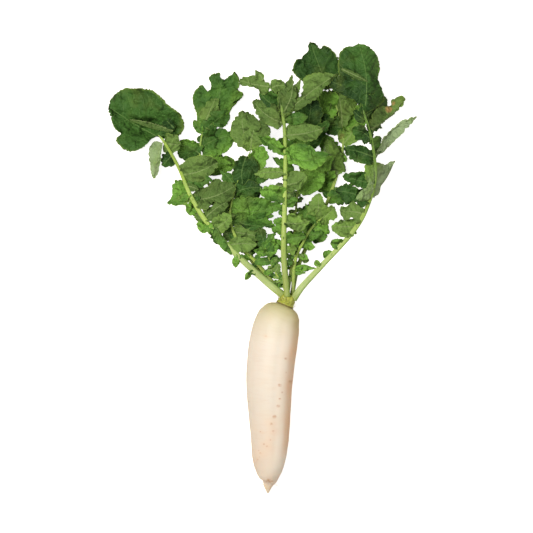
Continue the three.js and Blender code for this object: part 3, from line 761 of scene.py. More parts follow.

# %% [markdown]
# ## The leaves: how they lie
# A daikon leaf is lobed to its midrib: small lobes low on the stalk, larger leaflets higher up,
# and one large round lobe at its end. Nine leaves lie in four layers. Simulating a pile of
# leaves would be slow and would never give the same pile twice. Instead every leaf is laid out
# from above, blade by blade, and its layer decides how high it lies, so that leaves rest over
# each other without ever crossing.
#
# No two leaflets have the same outline. One is a strap, the next is hooked, torn or folded, so
# the outlines are kept as a short list of named forms. A form gives the reach of its left and
# right edge from the midrib, at even steps from foot to tip, as shares of half the width. The
# four large end lobes have lobes and notches of their own, so theirs are pairs: the way along
# as a share of the length, and the reach.

# %% Outline forms
FORMS = {
    "round": dict(left=(0.5, 1, 1, 0.85, 0.25), right=(0.45, 0.95, 1, 0.9, 0.2)),
    "broad": dict(left=(0.75, 1, 1, 0.85, 0.25), right=(0.85, 0.95, 1, 0.75, 0.3)),
    "spoon": dict(left=(0.25, 0.5, 0.95, 0.95, 0.25), right=(0.2, 0.55, 1, 0.85, 0.2)),
    "strap": dict(left=(0.4, 0.8, 0.9, 0.7, 0.1), right=(0.45, 0.75, 0.9, 0.75, 0.15)),
    "hooked": dict(left=(0.5, 1, 0.9, 0.4, 0.05), right=(0.4, 0.7, 1.05, 0.95, 0.1)),
    "pointed": dict(left=(0.4, 0.9, 1, 0.5, 0.05), right=(0.45, 0.9, 0.9, 0.45, 0.05)),
    "ragged": dict(left=(0.5, 1, 0.6, 0.9, 0.1), right=(0.4, 0.75, 1.1, 0.6, 0.4)),
    "lobed": dict(left=(0.35, 0.9, 0.6, 1, 0.65, 0.2), right=(0.5, 1, 0.7, 0.95, 0.9, 0.25)),
    "folded": dict(left=(0.2, 0.4, 0.85, 0.9, 0.9, 0.75, 0.1),
                 right=(0.3, 0.4, 0.45, 0.45, 0.4, 0.3, 0.1)),
    "kite": dict(left=(0.2, 0.2, 0.35, 0.6, 1.4, 1.33, 0.8, 0.07),
                 right=(0.2, 0.33, 0.47, 0.6, 0.6, 0.33, 0.23, 0.07)),
    "wing": dict(left=(0.4, 0.9, 1.5, 1.85, 1.45, 0.55, 0.07),
                 right=(0.33, 0.45, 0.27, 0.07, 0.07, 0.07, 0.07)),
    "curled": dict(left=(0.4, 0.6, 0.7, 0.65, 0.5, 0.2), right=(0.93, 1.35, 1.25, 0.8, 0.2, 0.07)),
    "drooping": dict(left=(0.2, 0.2, 0.35, 0.5, 0.2), right=(1.2, 2.0, 1.7, 1.1, 0.35)),
    "burnt": dict(left=(0.5, 1, 1.4, 1.45, 0.7, 1.1, 0.5),
                 right=(0.3, 0.4, 0.4, 0.45, 0.5, 0.5, 0.3)),
    "arched": dict(left=(0.73, 0.9, 0.45, 0.36, 0.45, 0.36),
                 right=(0.27, 0.55, 0.9, 0.82, 0.64, 0.27)),
    "shield": dict(left=(0.2, 0.5, 0.75, 0.88, 0.81, 0.6, 0.3),
                 right=(0.2, 0.45, 0.75, 1.05, 1.25, 1.2, 0.6)),
    "fan": dict(left=(0.3, 0.8, 1, 1.12, 1, 0.7, 0.15),
                 right=(0.25, 0.6, 0.8, 0.9, 0.85, 0.65, 0.2)),
    "great_left": dict(
        left=((0.10, 0.02), (0.15, 0.3), (0.18, 0.48), (0.30, 0.74), (0.41, 0.8), (0.51, 0.77),
              (0.61, 0.70), (0.62, 0.57), (0.61, 0.46), (0.69, 0.45), (0.78, 0.37),
              (0.84, 0.27), (0.92, 0.16), (0.97, 0.08)),
        right=((-0.06, 0.08), (-0.16, 0.22), (-0.22, 0.35), (-0.22, 0.54), (-0.17, 0.71),
               (-0.05, 0.85), (0.06, 0.87), (0.15, 0.88), (0.26, 0.94), (0.37, 0.98),
               (0.47, 1.0), (0.57, 1.0), (0.71, 0.88), (0.81, 0.78), (0.94, 0.67),
               (0.99, 0.5), (1.03, 0.29), (1.02, 0.12))),
    "great_right": dict(
        left=((0.08, 0.16), (0.21, 0.48), (0.26, 0.88), (0.41, 1.06), (0.56, 1.12), (0.72, 1.11),
              (0.86, 1.01), (0.91, 0.89), (0.95, 0.66), (0.96, 0.34)),
        right=((0.02, 0.16), (0.06, 0.41), (0.10, 0.64), (0.15, 0.84), (0.21, 0.93),
               (0.29, 0.87), (0.39, 0.79), (0.49, 0.68), (0.64, 0.83), (0.79, 0.77),
               (0.90, 0.55), (0.97, 0.27))),
    "crested": dict(
        left=((0.0, 0.1), (0.09, 0.29), (0.23, 0.59), (0.33, 0.76), (0.41, 0.86), (0.52, 0.95),
              (0.60, 0.98), (0.67, 0.86), (0.75, 0.68), (0.73, 0.53), (0.78, 0.39),
              (0.83, 0.16), (0.92, 0.12)),
        right=((0.0, 0.29), (0.13, 0.52), (0.27, 0.70), (0.46, 0.80), (0.54, 0.78),
               (0.66, 0.71), (0.75, 0.62), (0.82, 0.45), (0.79, 0.27), (0.86, 0.22),
               (0.95, 0.08))),
    "antlered": dict(
        left=((-0.25, 0.02), (-0.17, 0.38), (-0.03, 0.48), (0.09, 0.66), (0.29, 0.85),
              (0.41, 0.9), (0.55, 0.85), (0.68, 0.75), (0.69, 0.62), (0.62, 0.56),
              (0.59, 0.4), (0.67, 0.3), (0.79, 0.33), (0.92, 0.5), (1.05, 0.39), (1.12, 0.15),
              (1.03, 0.06)),
        right=((-0.16, 0.41), (0.04, 0.6), (0.23, 0.76), (0.42, 0.82), (0.61, 0.97),
               (0.76, 1.08), (0.85, 1.01), (0.87, 0.80), (0.99, 0.80), (1.16, 0.67),
               (1.28, 0.42), (1.20, 0.38), (1.11, 0.23), (1.01, 0.14))),
}
print("outline forms:", len(FORMS))

# %% [markdown]
# ## The leaf list
# Each leaf has a `layer`, 0 the lowest, a `seat`, the way across and up from the crown's axis to
# its foot, a `width` of its stalk at both ends, and the points of its `stalk`, which the midrib
# runs through. `proud` raises the stalk over its own blades, and `drape` gives the two points
# between which the leaf sinks to the table. In the finish, `pale` whitens the lower stalk and
# `dim` darkens its far end.
#
# A blade is (station, tip x, tip y, width, form, and the tip's height where it matters). A
# station counts the midrib's points: 0 is the crown, 1 the first point after it. Where a blade
# hangs free of its midrib, the station is its foot's own (x, y). The end lobe comes last. A
# list like this is easy to change: one number moves one leaflet.

# %% Leaf list
LEAVES = {
    "leaf_far_left": dict(
        layer=0, seat=(-4.5, -7.2), width=(6.2, 1.8),
        stalk=[(-15, 144), (-47, 196), (-72, 241), (-87, 281), (-84, 319), (-70, 351)],
        blades=[(5.1, -68, 358, 25, "broad", 4), (4.9, -52, 342, 26, "lobed", 0),
            (4.4, -45, 313, 34, "broad"), (3.8, -43, 276, 27, "broad"),
            (4.2, -119, 301, 27, "broad"), (3.8, -106, 284, 18, "ragged"),
            (2.8, -42, 250, 30, "ragged"), (2.2, -36, 222, 22, "lobed"),
            (1.7, -26, 198, 18, "broad"), (5.5, -61, 383, 60, "antlered", -2)]),
    "leaf_upper_right": dict(
        layer=0, seat=(4.4, -7.2), width=(6.4, 1.8),
        stalk=[(36, 151), (62, 206), (81, 254), (91, 294), (90, 325), (79, 359), (68, 380)],
        blades=[(4.9, 86, 363, 36, "shield", 4), (5.5, 51, 360, 38, "broad", -3),
            (4.2, 110, 327, 27, "hooked", 3), (4.9, 56, 330, 26, "lobed", -3),
            (3.2, 72, 306, 25, "broad", 3), (5.9, 96, 368, 22, "round", -3),
            (3, 45, 258, 29, "broad"), (2.5, 102, 240, 22, "ragged"),
            (2.2, 41, 220, 20, "broad"), (6.5, 50, 431, 66, "crested")]),
    "leaf_back": dict(
        layer=1, seat=(-0.5, -2.2), width=(4.6, 1.6),
        stalk=[(27, 154), (31, 200), (34, 238), (39, 275), (45, 313)],
        blades=[(4.5, 72, 328, 22, "broad"), (4.1, 12, 307, 24, "round"),
            (3.8, 78, 284, 28, "lobed"), (3.4, 4, 284, 20, "hooked"),
            (3.1, 68, 262, 26, "round"), (2.8, 8, 250, 20, "broad"), (2, 46, 222, 16, "pointed"),
            (1.4, 44, 184, 14, "broad"), (4.5, 52, 360, 38, "lobed")]),
    "leaf_inner_left": dict(
        layer=2, seat=(-7.4, -2.2), width=(5.6, 2.0), proud=1.6,
        stalk=[(-15, 151), (-37, 174), (-49, 203), (-48, 226), (-38, 262), (-22, 296)],
        blades=[((-20, 268), -9, 297, 25, "round", 2), ((-29, 285), -32, 243, 33, "round", 5),
            (4.6, -62, 268, 18, "pointed"), (4.4, -10, 246, 28, "lobed"),
            (3.8, 8, 222, 28, "broad"), (3.7, -78, 238, 22, "ragged"),
            (3.2, 5, 200, 22, "ragged"), (3.1, -68, 208, 20, "broad"),
            (2.6, -6, 184, 24, "lobed"), (2.3, -58, 190, 16, "round"),
            (1.8, -20, 166, 12, "pointed"), (1.3, -34, 160, 9, "spoon"),
            (5.9, -9, 334, 30, "hooked", 3), (5.9, -35, 341, 39, "fan")]),
    "leaf_young_right": dict(
        layer=2, seat=(6.2, -2.2), width=(5.2, 2.6), proud=2.6,
        stalk=[(31, 154), (42, 180), (52, 196), (65, 209)],
        blades=[(3.3, 60, 238, 24, "broad"), (3, 44, 226, 17, "pointed"),
            (3, 74, 192, 20, "ragged"),
            (2.6, 36, 212, 15, "lobed"), (1.9, 56, 172, 13, "hooked"),
            (1.7, 30, 188, 13, "broad"), (1.3, 47, 157, 8, "spoon"),
            (0.7, 44, 140, 8, "pointed"), (3.6, 80, 222, 24, "lobed")]),
    "leaf_young_left": dict(
        layer=3, seat=(0.8, 2.6), width=(3.6, 1.3),
        stalk=[(14, 128), (5, 144), (-2, 160), (-8, 176)],
        blades=[(3.6, 5, 189, 15, "ragged"), (3.2, 10, 175, 13, "broad"),
            (3.3, -20, 168, 12, "pointed"), (2.6, 11, 159, 12, "lobed"),
            (2.7, -19, 153, 10, "broad"), (1.9, -8, 140, 8, "spoon"),
            (3.8, -14, 196, 17, "lobed")]),
    "leaf_left": dict(
        layer=3, seat=(-7, 3), width=(10.6, 2.4), proud=2.2, pale=0.7, dim=0.15,
        drape=((-92, 262), (-140, 304)),
        stalk=[(-8, 132), (-46, 167), (-79, 204), (-99, 237), (-114, 272), (-134, 306),
            (-146, 317)],
        blades=[(5.9, -112, 300, 27, "broad", 4), ((-136, 303), -144.5, 259, 15, "drooping", 3),
            (5.4, -134, 274, 21, "broad", -2), (4.7, -66, 277, 32, "broad", 2),
            (3.8, -44, 248, 34, "lobed", -2), (4.1, -127, 227, 30, "curled", 2),
            (4.3, -89, 243, 9, "broad", 4), (3.6, -101, 213, 20, "broad", -1),
            (3.1, -54, 228, 22, "ragged"), (3, -84, 190, 20, "broad"),
            (2.7, -48, 212, 22, "broad", 2), (2.5, -66, 176, 20, "broad"),
            (2.2, -17, 175, 19, "round", 3), (1.9, -43, 147, 9, "spoon"),
            (1.4, -31, 132, 7, "spoon"), (6.1, -202, 348, 90, "great_left", -1)]),
    "leaf_right": dict(
        layer=3, seat=(7, 3), width=(9.8, 1.8), proud=1.5, pale=0.7, dim=1.0,
        drape=((116, 260), (156, 260)),
        stalk=[(40, 123), (64, 149), (104, 193), (122, 226), (131, 262), (126, 305), (115, 344),
            (112, 369)],
        blades=[(6.3, 168, 358, 20, "burnt"), (5.5, 183, 335, 20, "folded", 2),
            (4.3, 156, 280, 30, "wing", 3), (5.5, 92, 294, 22, "broad", -3),
            (6, 102, 318, 22, "lobed", -3), (6.6, 104, 341, 15, "broad", -3),
            (6.5, 140, 321, 24, "pointed", -3), (5.7, 139, 301, 16, "pointed", -3),
            (4.7, 91, 260, 20, "broad", -3), (4.1, 82, 242, 27, "lobed", -2),
            (3.6, 87, 217, 26, "ragged", 1), (3.1, 77, 196, 23, "broad"),
            (2.6, 75, 177, 14, "broad"), (2.3, 66, 165, 12, "broad"), (1.9, 57, 156, 8, "spoon"),
            (6.8, 110, 426, 54, "great_right")]),
    "leaf_centre": dict(
        layer=3, seat=(-1, 8), width=(8.6, 1.8), pale=0.15, dim=1.0,
        stalk=[(17, 164), (18, 219), (19, 269), (18, 315), (14, 346), (6, 364), (-11, 380),
            (-26, 381)],
        blades=[(4.7, 27, 386, 25, "pointed", 3), (4.6, 83, 387, 30, "kite", 2),
            (4.4, 46, 334, 16, "round", -3), (3.9, 67, 320, 27, "hooked", 2),
            (3.3, 73, 287, 34, "hooked"), (2.6, 44, 261, 24, "broad", 2),
            (1.7, 49, 205, 22, "hooked", 1), (1.3, 44, 186, 19, "ragged", -2),
            (4.3, -20, 353, 26, "broad", 2), (3.4, -14, 309, 18, "strap", 1),
            (2.9, -19, 262, 17, "strap", 2), (2.3, -12, 242, 22, "broad"),
            (1.7, 4, 204, 14, "strap", -3), (1.1, 6, 182, 12, "strap", -3),
            ((12, 346), -12, 364, 21, "round", -3), (6.3, 19, 373, 20, "broad", -1),
            (6.9, -18, 392, 11, "pointed"), (6.4, -37, 379, 25, "arched")]),
}

STALK_SEAT = 0.72
for leaf in LEAVES.values():
    leaf["foot"] = (SEAT + STALK_SEAT * CROWN_LENGTH * CROWN_AXIS
                    + leaf["seat"][0] * CROWN_ACROSS + leaf["seat"][1] * UP)
print("blades in all:", sum(len(leaf["blades"]) for leaf in LEAVES.values()))

# %% [markdown]
# ## Which side is up, and how green
# A leaflet that has rolled over shows its pale underside. Old leaves are dark and young ones are
# fresh, so a tone goes with each blade: 0 is dark, 1 is fresh green, and from there to 2 an
# upper side turns yellow-green and an underside silvery. The tones are partly the blades' own
# greens and partly painted light and shade: a blade that lies in shade under others gets a
# higher tone, up into the yellow-green, as painted light, and some blades get lower tones as
# painted shade. `turned` numbers the blades that lie with the underside up, and `tones` holds
# the tones that differ from the leaf's own. A blade that lies half in its neighbour's shade is
# given a painted slope of light and shade.

# %% Sides and tones
# The tones below are partly the blades' own greens and partly painted light and shade.
SIDES = {
    "leaf_far_left": dict(turned=(0,), tone=0.45, tones={
        0: 0.5, 1: 0.52, 2: 0.65, 3: 1.55, 4: 0.68, 6: 0.6, 9: 0.62}),
    "leaf_upper_right": dict(turned=(0, 2, 4), tone=0.25, tones={
        0: 0.37, 1: 1.5, 2: 0.82, 4: 1.04, 6: 1.65, 7: 0.48, 8: 0.5, 9: 0.21}),
    "leaf_back": dict(turned=(5,), tone=0.3, tones={
        0: 0.34, 1: 0.73, 2: 1.65, 3: 0.75, 4: 1.5, 5: 1.2, 6: 0.7, 7: 0.8, 8: 0.42}),
    "leaf_inner_left": dict(turned=(5, 8, 9, 12, 13), tone=0.5, tones={
        0: 1.1, 1: 0.14, 2: 0.65, 3: 0.34, 4: 0.84, 6: 0.47, 8: 0.38, 9: 0.16, 11: 1.21,
        12: 0.4, 13: 0.34}),
    "leaf_young_right": dict(turned=(0, 8), tone=0.85, tones={
        0: 0.66, 1: 0.75, 2: 1.2, 3: 1.7, 4: 1.35, 6: 1.4, 8: 0.76}),
    "leaf_young_left": dict(turned=(), tone=0.7, tones={
        0: 0.86, 1: 0.91, 2: 0.95, 3: -0.2, 5: 0.99, 6: 0.28}),
    "leaf_left": dict(turned=(0, 1, 3, 4, 6, 8, 10, 12), tone=0.5, tones={
        0: 0.42, 1: 1.32, 2: 0.15, 3: 0.33, 4: 0.08, 5: 0.9, 6: -0.05, 7: 1.2, 8: 0.18, 9: 1.2,
        10: 0.63, 12: 0.6, 13: 1.3, 14: 1.35, 15: 0.4}),
    "leaf_right": dict(turned=(0, 1, 2, 10, 11), tone=0.3, tones={
        0: 0.39, 1: 1.42, 2: 1.5, 3: 0.26, 4: 0.07, 5: -0.04, 8: 0.47, 9: 0.28, 10: 0.42,
        11: 0.71, 12: 0.91, 13: 0.82, 14: 1.4, 15: 0.26}),
    "leaf_centre": dict(turned=(0, 1, 3, 5, 6, 8, 10, 15, 16, 17), tone=0.42, tones={
        0: 0.02, 1: 0.28, 2: 0.6, 3: 0.36, 4: 0.9, 5: 0.36, 6: 0.62, 7: 0.8, 8: 0.24, 9: 0.88,
        10: 0.63, 11: 0.98, 12: 0.98, 13: 1.04, 14: 0.35, 16: 0.53, 17: 0.38}),
}
print("blades with the underside up:", sum(len(s["turned"]) for s in SIDES.values()))

# %% Fades: painted slopes of light and shade
# How much a blade's tone grows over 10 mm towards +x and towards +y: painted light and shade
# across a blade that lies half in its neighbour's shade.
PAINTED_SHADE_SLOPES = {
    "leaf_far_left": {2: (0.14, -0.18), 4: (-0.04, 0.37), 9: (0.05, -0.06)},
    "leaf_upper_right": {
        0: (0.27, 0.1), 1: (-0.2, 0.04), 4: (-0.38, -0.12), 6: (-0.38, 0.23), 7: (-0.38, -0.38)},
    "leaf_back": {4: (-0.38, 0.09), 8: (-0.23, -0.09)},
    "leaf_inner_left": {3: (-0.1, -0.38), 6: (0.18, 0.34), 12: (-0.1, -0.17), 13: (-0.01, -0.09)},
    "leaf_young_left": {0: (0.38, -0.14)},
    "leaf_left": {2: (-0.28, -0.38), 4: (-0.05, -0.03), 8: (-0.24, 0.18)},
    "leaf_right": {
        0: (0.23, -0.05), 2: (0.22, -0.15), 4: (-0.38, 0.0), 9: (0.14, 0.08), 15: (0.09, 0.07)},
    "leaf_centre": {
        0: (0.14, 0.1), 1: (-0.1, 0.15), 4: (-0.08, -0.16), 5: (0.18, -0.01), 6: (0.2, 0.35),
        9: (0.23, 0.2), 11: (0.04, 0.37), 14: (0.07, 0.38)},
}
print("blades with a fade:", sum(len(fades) for fades in PAINTED_SHADE_SLOPES.values()))

# %% [markdown]
# ## Height bands
# Leaves that lie in a heap rest on each other, each a little higher than the one below. A cloth
# simulation could let them fall. Here the heap is cut into four layers of equal height, and a
# leaf asks its layer how high it may lie at each place. Whatever shape a blade wants to take is
# pressed into that band by a tanh, which is a soft stop.

# %% Height bands
LAYERS = 4
STACK_TOP = 62
STACK_BOTTOM = 1.0
DRAPED_TOP = 24
LAYER_GAP = 1.6
BLADE_THICKNESS = 0.9
SPREAD = (15, 90)
FOOT_HALF = 1.5


def band_at(leaf, x, y):
    """Middle and half-height of the leaf's band at (x, y). The stack is 16 mm lower at its far
    end and 20 mm lower at its sides, and is cut into equal slabs. A draped leaf leaves its slab
    for the table, and near the crown the band narrows to the stalk."""
    top = STACK_TOP - 16 * smooth(320, 440, y) - 20 * smooth(90, 200, np.abs(x - 15))
    slab = (top - STACK_BOTTOM) / LAYERS
    low = STACK_BOTTOM + leaf["layer"] * slab
    high = low + slab - LAYER_GAP
    if "drape" in leaf:
        (x0, y0), (x1, y1) = leaf["drape"]
        run = ((x - x0) * (x1 - x0) + (y - y0) * (y1 - y0)) / ((x1 - x0) ** 2 + (y1 - y0) ** 2)
        fall = smooth(0, 1, run)
        low = mix(low, STACK_BOTTOM, fall)
        high = mix(high, DRAPED_TOP, fall)
    spread = smooth(*SPREAD, np.hypot(x - leaf["foot"][0], y - leaf["foot"][1]))
    middle = mix(leaf["foot"][2], (low + high) / 2, spread)
    half = mix(FOOT_HALF, (high - low) / 2 - BLADE_THICKNESS / 2, spread)
    return middle, half


def height_at(leaf, x, y, lift):
    """middle + half * tanh(lift / half): free near the middle, never out of the band."""
    middle, half = band_at(leaf, x, y)
    return middle + half * np.tanh(lift / half)


def midrib_at(leaf, t):
    """Points of the midrib: its plan is a smooth curve, its height the middle of the band."""
    plan = curve_through([leaf["foot"][:2], *leaf["stalk"]], t)
    return np.concatenate([plan, height_at(leaf, plan[..., 0], plan[..., 1], 0.0)[..., None]], -1)


print("leaf_left's midrib ends at", midrib_at(LEAVES["leaf_left"], 1.0).round(1), "mm")

# %% [markdown]
# ## Small leaflets
# Between its large leaflets a stalk carries scales of leaf, some only as long as a fingernail.
# They could be scattered by a particle system, but that wouldn't be kept in an export. The few
# that can be told apart are listed, each with whether it is turned and with its tone, and the
# rest follow a rule: they stand left and right in turn along the lower stalk, at uneven sizes
# and slants.

# %% Leaflets between the large ones
BETWEEN = {
    "leaf_right": (((6.7, 143, 360, 34, "broad", -2), False, 0.33),
                   (((110, 366), 72, 380, 24, "broad", -4), False, -0.2),
                   (((89, 393), 120, 378, 7, "strap", 9), True, -0.2),
                   ((5.8, 138, 309, 16, "broad", -3), False, 0.72),
                   (((129, 245), 108, 231, 15, "broad", 5), True, 1.25),
                   ((6.6, 120, 334, 9, "round", -2), False, 0.3)),
    "leaf_left": ((((-122, 317), -174, 331, 7, "strap", 4), True, -0.2),
                  (((-120, 321), -139, 338, 13, "pointed", 5), False, -0.2),
                  ((2.9, -48, 163, 13, "strap", 6), False, 0.69),
                  ((2.8, -80, 192, 15, "ragged", 6), False, 0.95),
                  ((4.4, -72, 256, 16, "ragged", -2), False, 0.6),
                  (((-69, 187), -99, 224, 15, "strap", -2), True, 0.2),
                  ((3.9, -123, 227, 14, "pointed", 0), True, 0.84)),
    "leaf_centre": (((1.1, 33, 170, 16, "lobed", -2), True, 0.82),
                    ((2.1, 33, 232, 13, "ragged", 0), False, 0.75),
                    ((0.8, 28, 152, 9, "spoon", -2), False, 0.5),
                    ((1.5, 2, 195, 13, "ragged", -3), False, 1.0),
                    ((2.0, 3, 225, 14, "lobed", -3), False, 0.77),
                    ((4.6, 38, 381, 20, "pointed", 0), True, 0.52)),
    "leaf_far_left": (((4.9, -95, 331, 10, "round", 1), False, 0.75),),
    "leaf_upper_right": (((3.5, 63, 314, 25, "broad", -2), False, 1.12),
                         (((120, 344), 93, 314, 26, "broad", -2), False, 1.08),
                         (((85, 322), 70, 316, 13, "broad", -2), False, 0.6),
                         ((1.6, 65, 180, 11, "ragged", 0), False, 0.6)),
    "leaf_inner_left": (((2.0, 0, 172, 14, "lobed"), False, 0.45),
                        ((2.9, 3, 212, 16, "ragged"), False, 0.67),
                        ((4.8, -3, 257, 15, "strap"), False, 0.67)),
    "leaf_young_right": (((2.4, 71, 186, 16, "lobed"), False, 0.71),
                         ((0.8, 57, 146, 9, "pointed"), False, 1.17)),
}
print("leaflets between:", sum(len(listed) for listed in BETWEEN.values()))

# %% Scales
# How many small scales a leaf has, the stations between which they stand, and their length.
SCALES = {
    "leaf_young_left": (22, 0.7, 3.9, 8.5),
    "leaf_inner_left": (14, 0.9, 3.4, 8.0),
    "leaf_back": (16, 0.7, 3.2, 7.5),
    "leaf_young_right": (14, 0.5, 3.6, 7.0),
    "leaf_centre": (8, 0.7, 3.0, 7.0),
    "leaf_left": (8, 1.2, 4.0, 6.5),
    "leaf_upper_right": (8, 0.8, 3.0, 8.0),
    "leaf_far_left": (6, 1.0, 2.6, 8.0),
}
SCALE_FORMS = ("lobed", "broad", "spoon", "ragged")


def scale_leaflet(name, index, seed):
    """One small leaflet: its tip lies beside its station, forwards by 0.2 to 0.9 of the way
    aside."""
    count, first, last, length = SCALES[name]
    leaf = LEAVES[name]
    station = mix(first, last, (index + 0.7 * chance(seed + 0.1)) / count)
    near, far = midrib_at(leaf, np.array([station, station + 0.05]) / len(leaf["stalk"]))[:, :2]
    forward = unit(far - near)
    side = np.array([forward[1], -forward[0]]) * (1 if index % 2 else -1)
    reach = length * (0.6 + 0.9 * chance(seed + 0.2))
    tip = near + reach * unit(side + (0.2 + 0.7 * chance(seed + 0.3)) * forward)
    form = SCALE_FORMS[int(len(SCALE_FORMS) * chance(seed + 0.4))]
    return (station, tip[0], tip[1], 0.75 * reach, form, 2 * chance(seed + 0.6) - 1)


print("scales:", sum(row[0] for row in SCALES.values()))

# %% [markdown]
# ## Leaf blades
# A blade is one sheet of points: u runs from its foot to its tip, v from one edge to the other.
# Its outline is a smooth curve through its form's numbers, with small uneven teeth cut square to
# the edge. Its surface twists, cups and waves, and crossing wrinkles run over all of it. The
# waves could come from a displace modifier, but then an edge could cross the next leaf. In the
# formula they pass through the height band. Two copies of the sheet, 0.45 mm apart, make a
# closed blade. The midrib is a groove in the upper side and a ridge on the underside.

# %% Blade edge
LEAST_REACH = 0.6


def edge_points(form, side, length, width):
    """The form's listed points down one side: length times the share of the way along, and
    half the width times the reach aside."""
    listed = np.array(form[side], float)
    if listed.ndim == 1:
        listed = np.stack([np.linspace(0, 1, len(listed)), listed], -1)
    reach = np.maximum(LEAST_REACH, 0.5 * width * listed[:, 1])
    return np.stack([length * listed[:, 0], reach], -1)


def edge_curve(near, far, s):
    """One edge from the foot, at s = 0, to the tip, at s = 1: a smooth closed curve that runs
    from the foot through this side's points and on through the other side's, read up to the
    middle of the step across the tip."""
    across = np.array([1.0, -1.0])
    around = np.vstack([far[0] * across, [[0.0, 0.0]], near, far[:-3:-1] * across])
    return curve_through(around, (1 + s * (len(near) + 0.5)) / (len(around) - 1))


# %% Teeth
TOOTH_PITCH = 4.8
TOOTH_DEPTH = 1.1
TOOTH_OUT = 0.5
LOBE_PITCH = 11.0
LOBE_DEPTH = 2.8


def tooth_depth(run, pitch, depth, seed):
    """How far the edge is cut in at a run in mm along it: depth * (1 - |sine|^0.8), which has
    round crests and sharp notches. Two slow waves make the teeth uneven in place and in size."""
    sway = 1.1 * np.sin(2 * np.pi * (run / (3.3 * pitch) + chance(seed)))
    size = 0.66 + 0.34 * np.sin(2 * np.pi * (run / (4.7 * pitch) + chance(seed + 0.3)))
    return depth * size * (1 - np.abs(np.sin(np.pi * run / pitch + sway)) ** 0.8)


def toothed_edge(form, side, u, length, width, seed):
    """The edge's point for every row u. side is 1 for the left edge and -1 for the right. Teeth
    are cut in square to the edge, and blades of a middle width are lobed as well."""
    names = ("left", "right") if side == 1 else ("right", "left")
    near, far = (edge_points(form, name, length, width) for name in names)
    edge = edge_curve(near, far, u)
    slope = np.gradient(edge, axis=0)
    run = np.cumsum(np.hypot(slope[:, 0], slope[:, 1]))
    inward = unit(np.stack([slope[:, 1], -slope[:, 0]], -1))
    teeth = tooth_depth(run, TOOTH_PITCH + 0.015 * width, TOOTH_DEPTH + 0.009 * width,
                        seed + 0.05 * side)
    lobing = smooth(60, 40, width) * smooth(6, 20, width)
    cut = teeth + lobing * tooth_depth(run, LOBE_PITCH, LOBE_DEPTH, seed + 0.07 * side) - TOOTH_OUT
    return edge + (cut * smooth(0, 6, run) * np.minimum(1, edge[:, 1] / 4))[:, None] * inward


print("cut over one tooth:", tooth_depth(np.linspace(0, TOOTH_PITCH, 6), TOOTH_PITCH,
                                         TOOTH_DEPTH, 1).round(2), "mm")


# %% Blade plan
def blade_grid(length, width):
    """u from foot to tip, with rows closer at both ends, and v from the right edge, -1, to the
    left edge, 1, with columns closer at the edges."""
    rows = int(np.clip(1.7 * length, 18, 150))
    columns = 2 * int(np.clip(width / 2.4, 4, 30)) + 1
    even = np.linspace(0, 1, rows)
    v = np.linspace(-1, 1, columns)[None, :]
    return (even - 0.05 * np.sin(2 * np.pi * even))[:, None], np.sign(v) * np.abs(v) ** 0.9


def blade_plan(foot, tip, width, form, seed):
    """The blade from above: x, y, u, v, its half width and length, and the ways along and aside
    in mm. A row starts on the midrib at length * u and reaches its edge point at v = 1 or -1:
    the way aside grows as v and the way along bends as v^2."""
    forward = np.array(tip, float) - foot
    length = np.hypot(*forward)
    forward = forward / length
    across = np.array([-forward[1], forward[0]])
    u, v = blade_grid(length, width)
    bow = np.sin(np.pi * u)
    bend = length * 0.06 * (chance(seed) - 0.5) * bow
    rib_bend = length * 0.22 * (chance(seed + 0.25) - 0.5) * bow
    along = np.repeat(length * u, v.size, axis=1)
    aside = bend + rib_bend * (1 - np.abs(v)) ** 1.5
    half_width = np.zeros_like(along)
    for side in (1, -1):
        edge = toothed_edge(form, side, u[:, 0], length, width, seed)
        here = np.sign(v) == side
        share = np.where(here, np.abs(v), 0)
        along = along + share**2 * (edge[:, 0] - length * u[:, 0])[:, None]
        aside = aside + share * side * edge[:, 1][:, None]
        half_width = half_width + np.where(here, edge[:, 1][:, None], 0)
    x = foot[0] + forward[0] * along + across[0] * aside
    y = foot[1] + forward[1] * along + across[1] * aside
    return x, y, u, v, half_width, length, along, aside - (bend + rib_bend)


print("rows and columns of a blade of 30 by 20 mm:", [part.size for part in blade_grid(30, 20)])


# %% Crumples
RELIEF = 0.042
FINEST_CREASE = 3.5


def crumple(x, y, width, seed):
    """A sum of crossing waves, each half a sine and half a sharp crease, 1 - 2 |sine|. Each is
    1.5 times shorter than the one before, down to 3.5 mm, and 0.62 times as high, and each is
    bent by a slower wave across it."""
    total = np.zeros_like(x)
    length, height, number = 0.9 * width, RELIEF * width, 0
    while length > FINEST_CREASE:
        turn = 2 * np.pi * chance(seed + 0.13 * number)
        along = (x * np.cos(turn) + y * np.sin(turn)) / length
        across = (y * np.cos(turn) - x * np.sin(turn)) / (1.7 * length)
        bent = along + 0.22 * np.sin(2 * np.pi * (across + chance(seed + 0.17 * number)))
        crease = 1 - 2 * np.abs(np.sin(np.pi * bent))
        total = total + height * (0.5 * np.sin(2 * np.pi * bent) + 0.6 * crease)
        length, height, number = length / 1.5, height * 0.62, number + 1
    return total


# %% Blade surface
RUFFLE_PITCH = 9.5


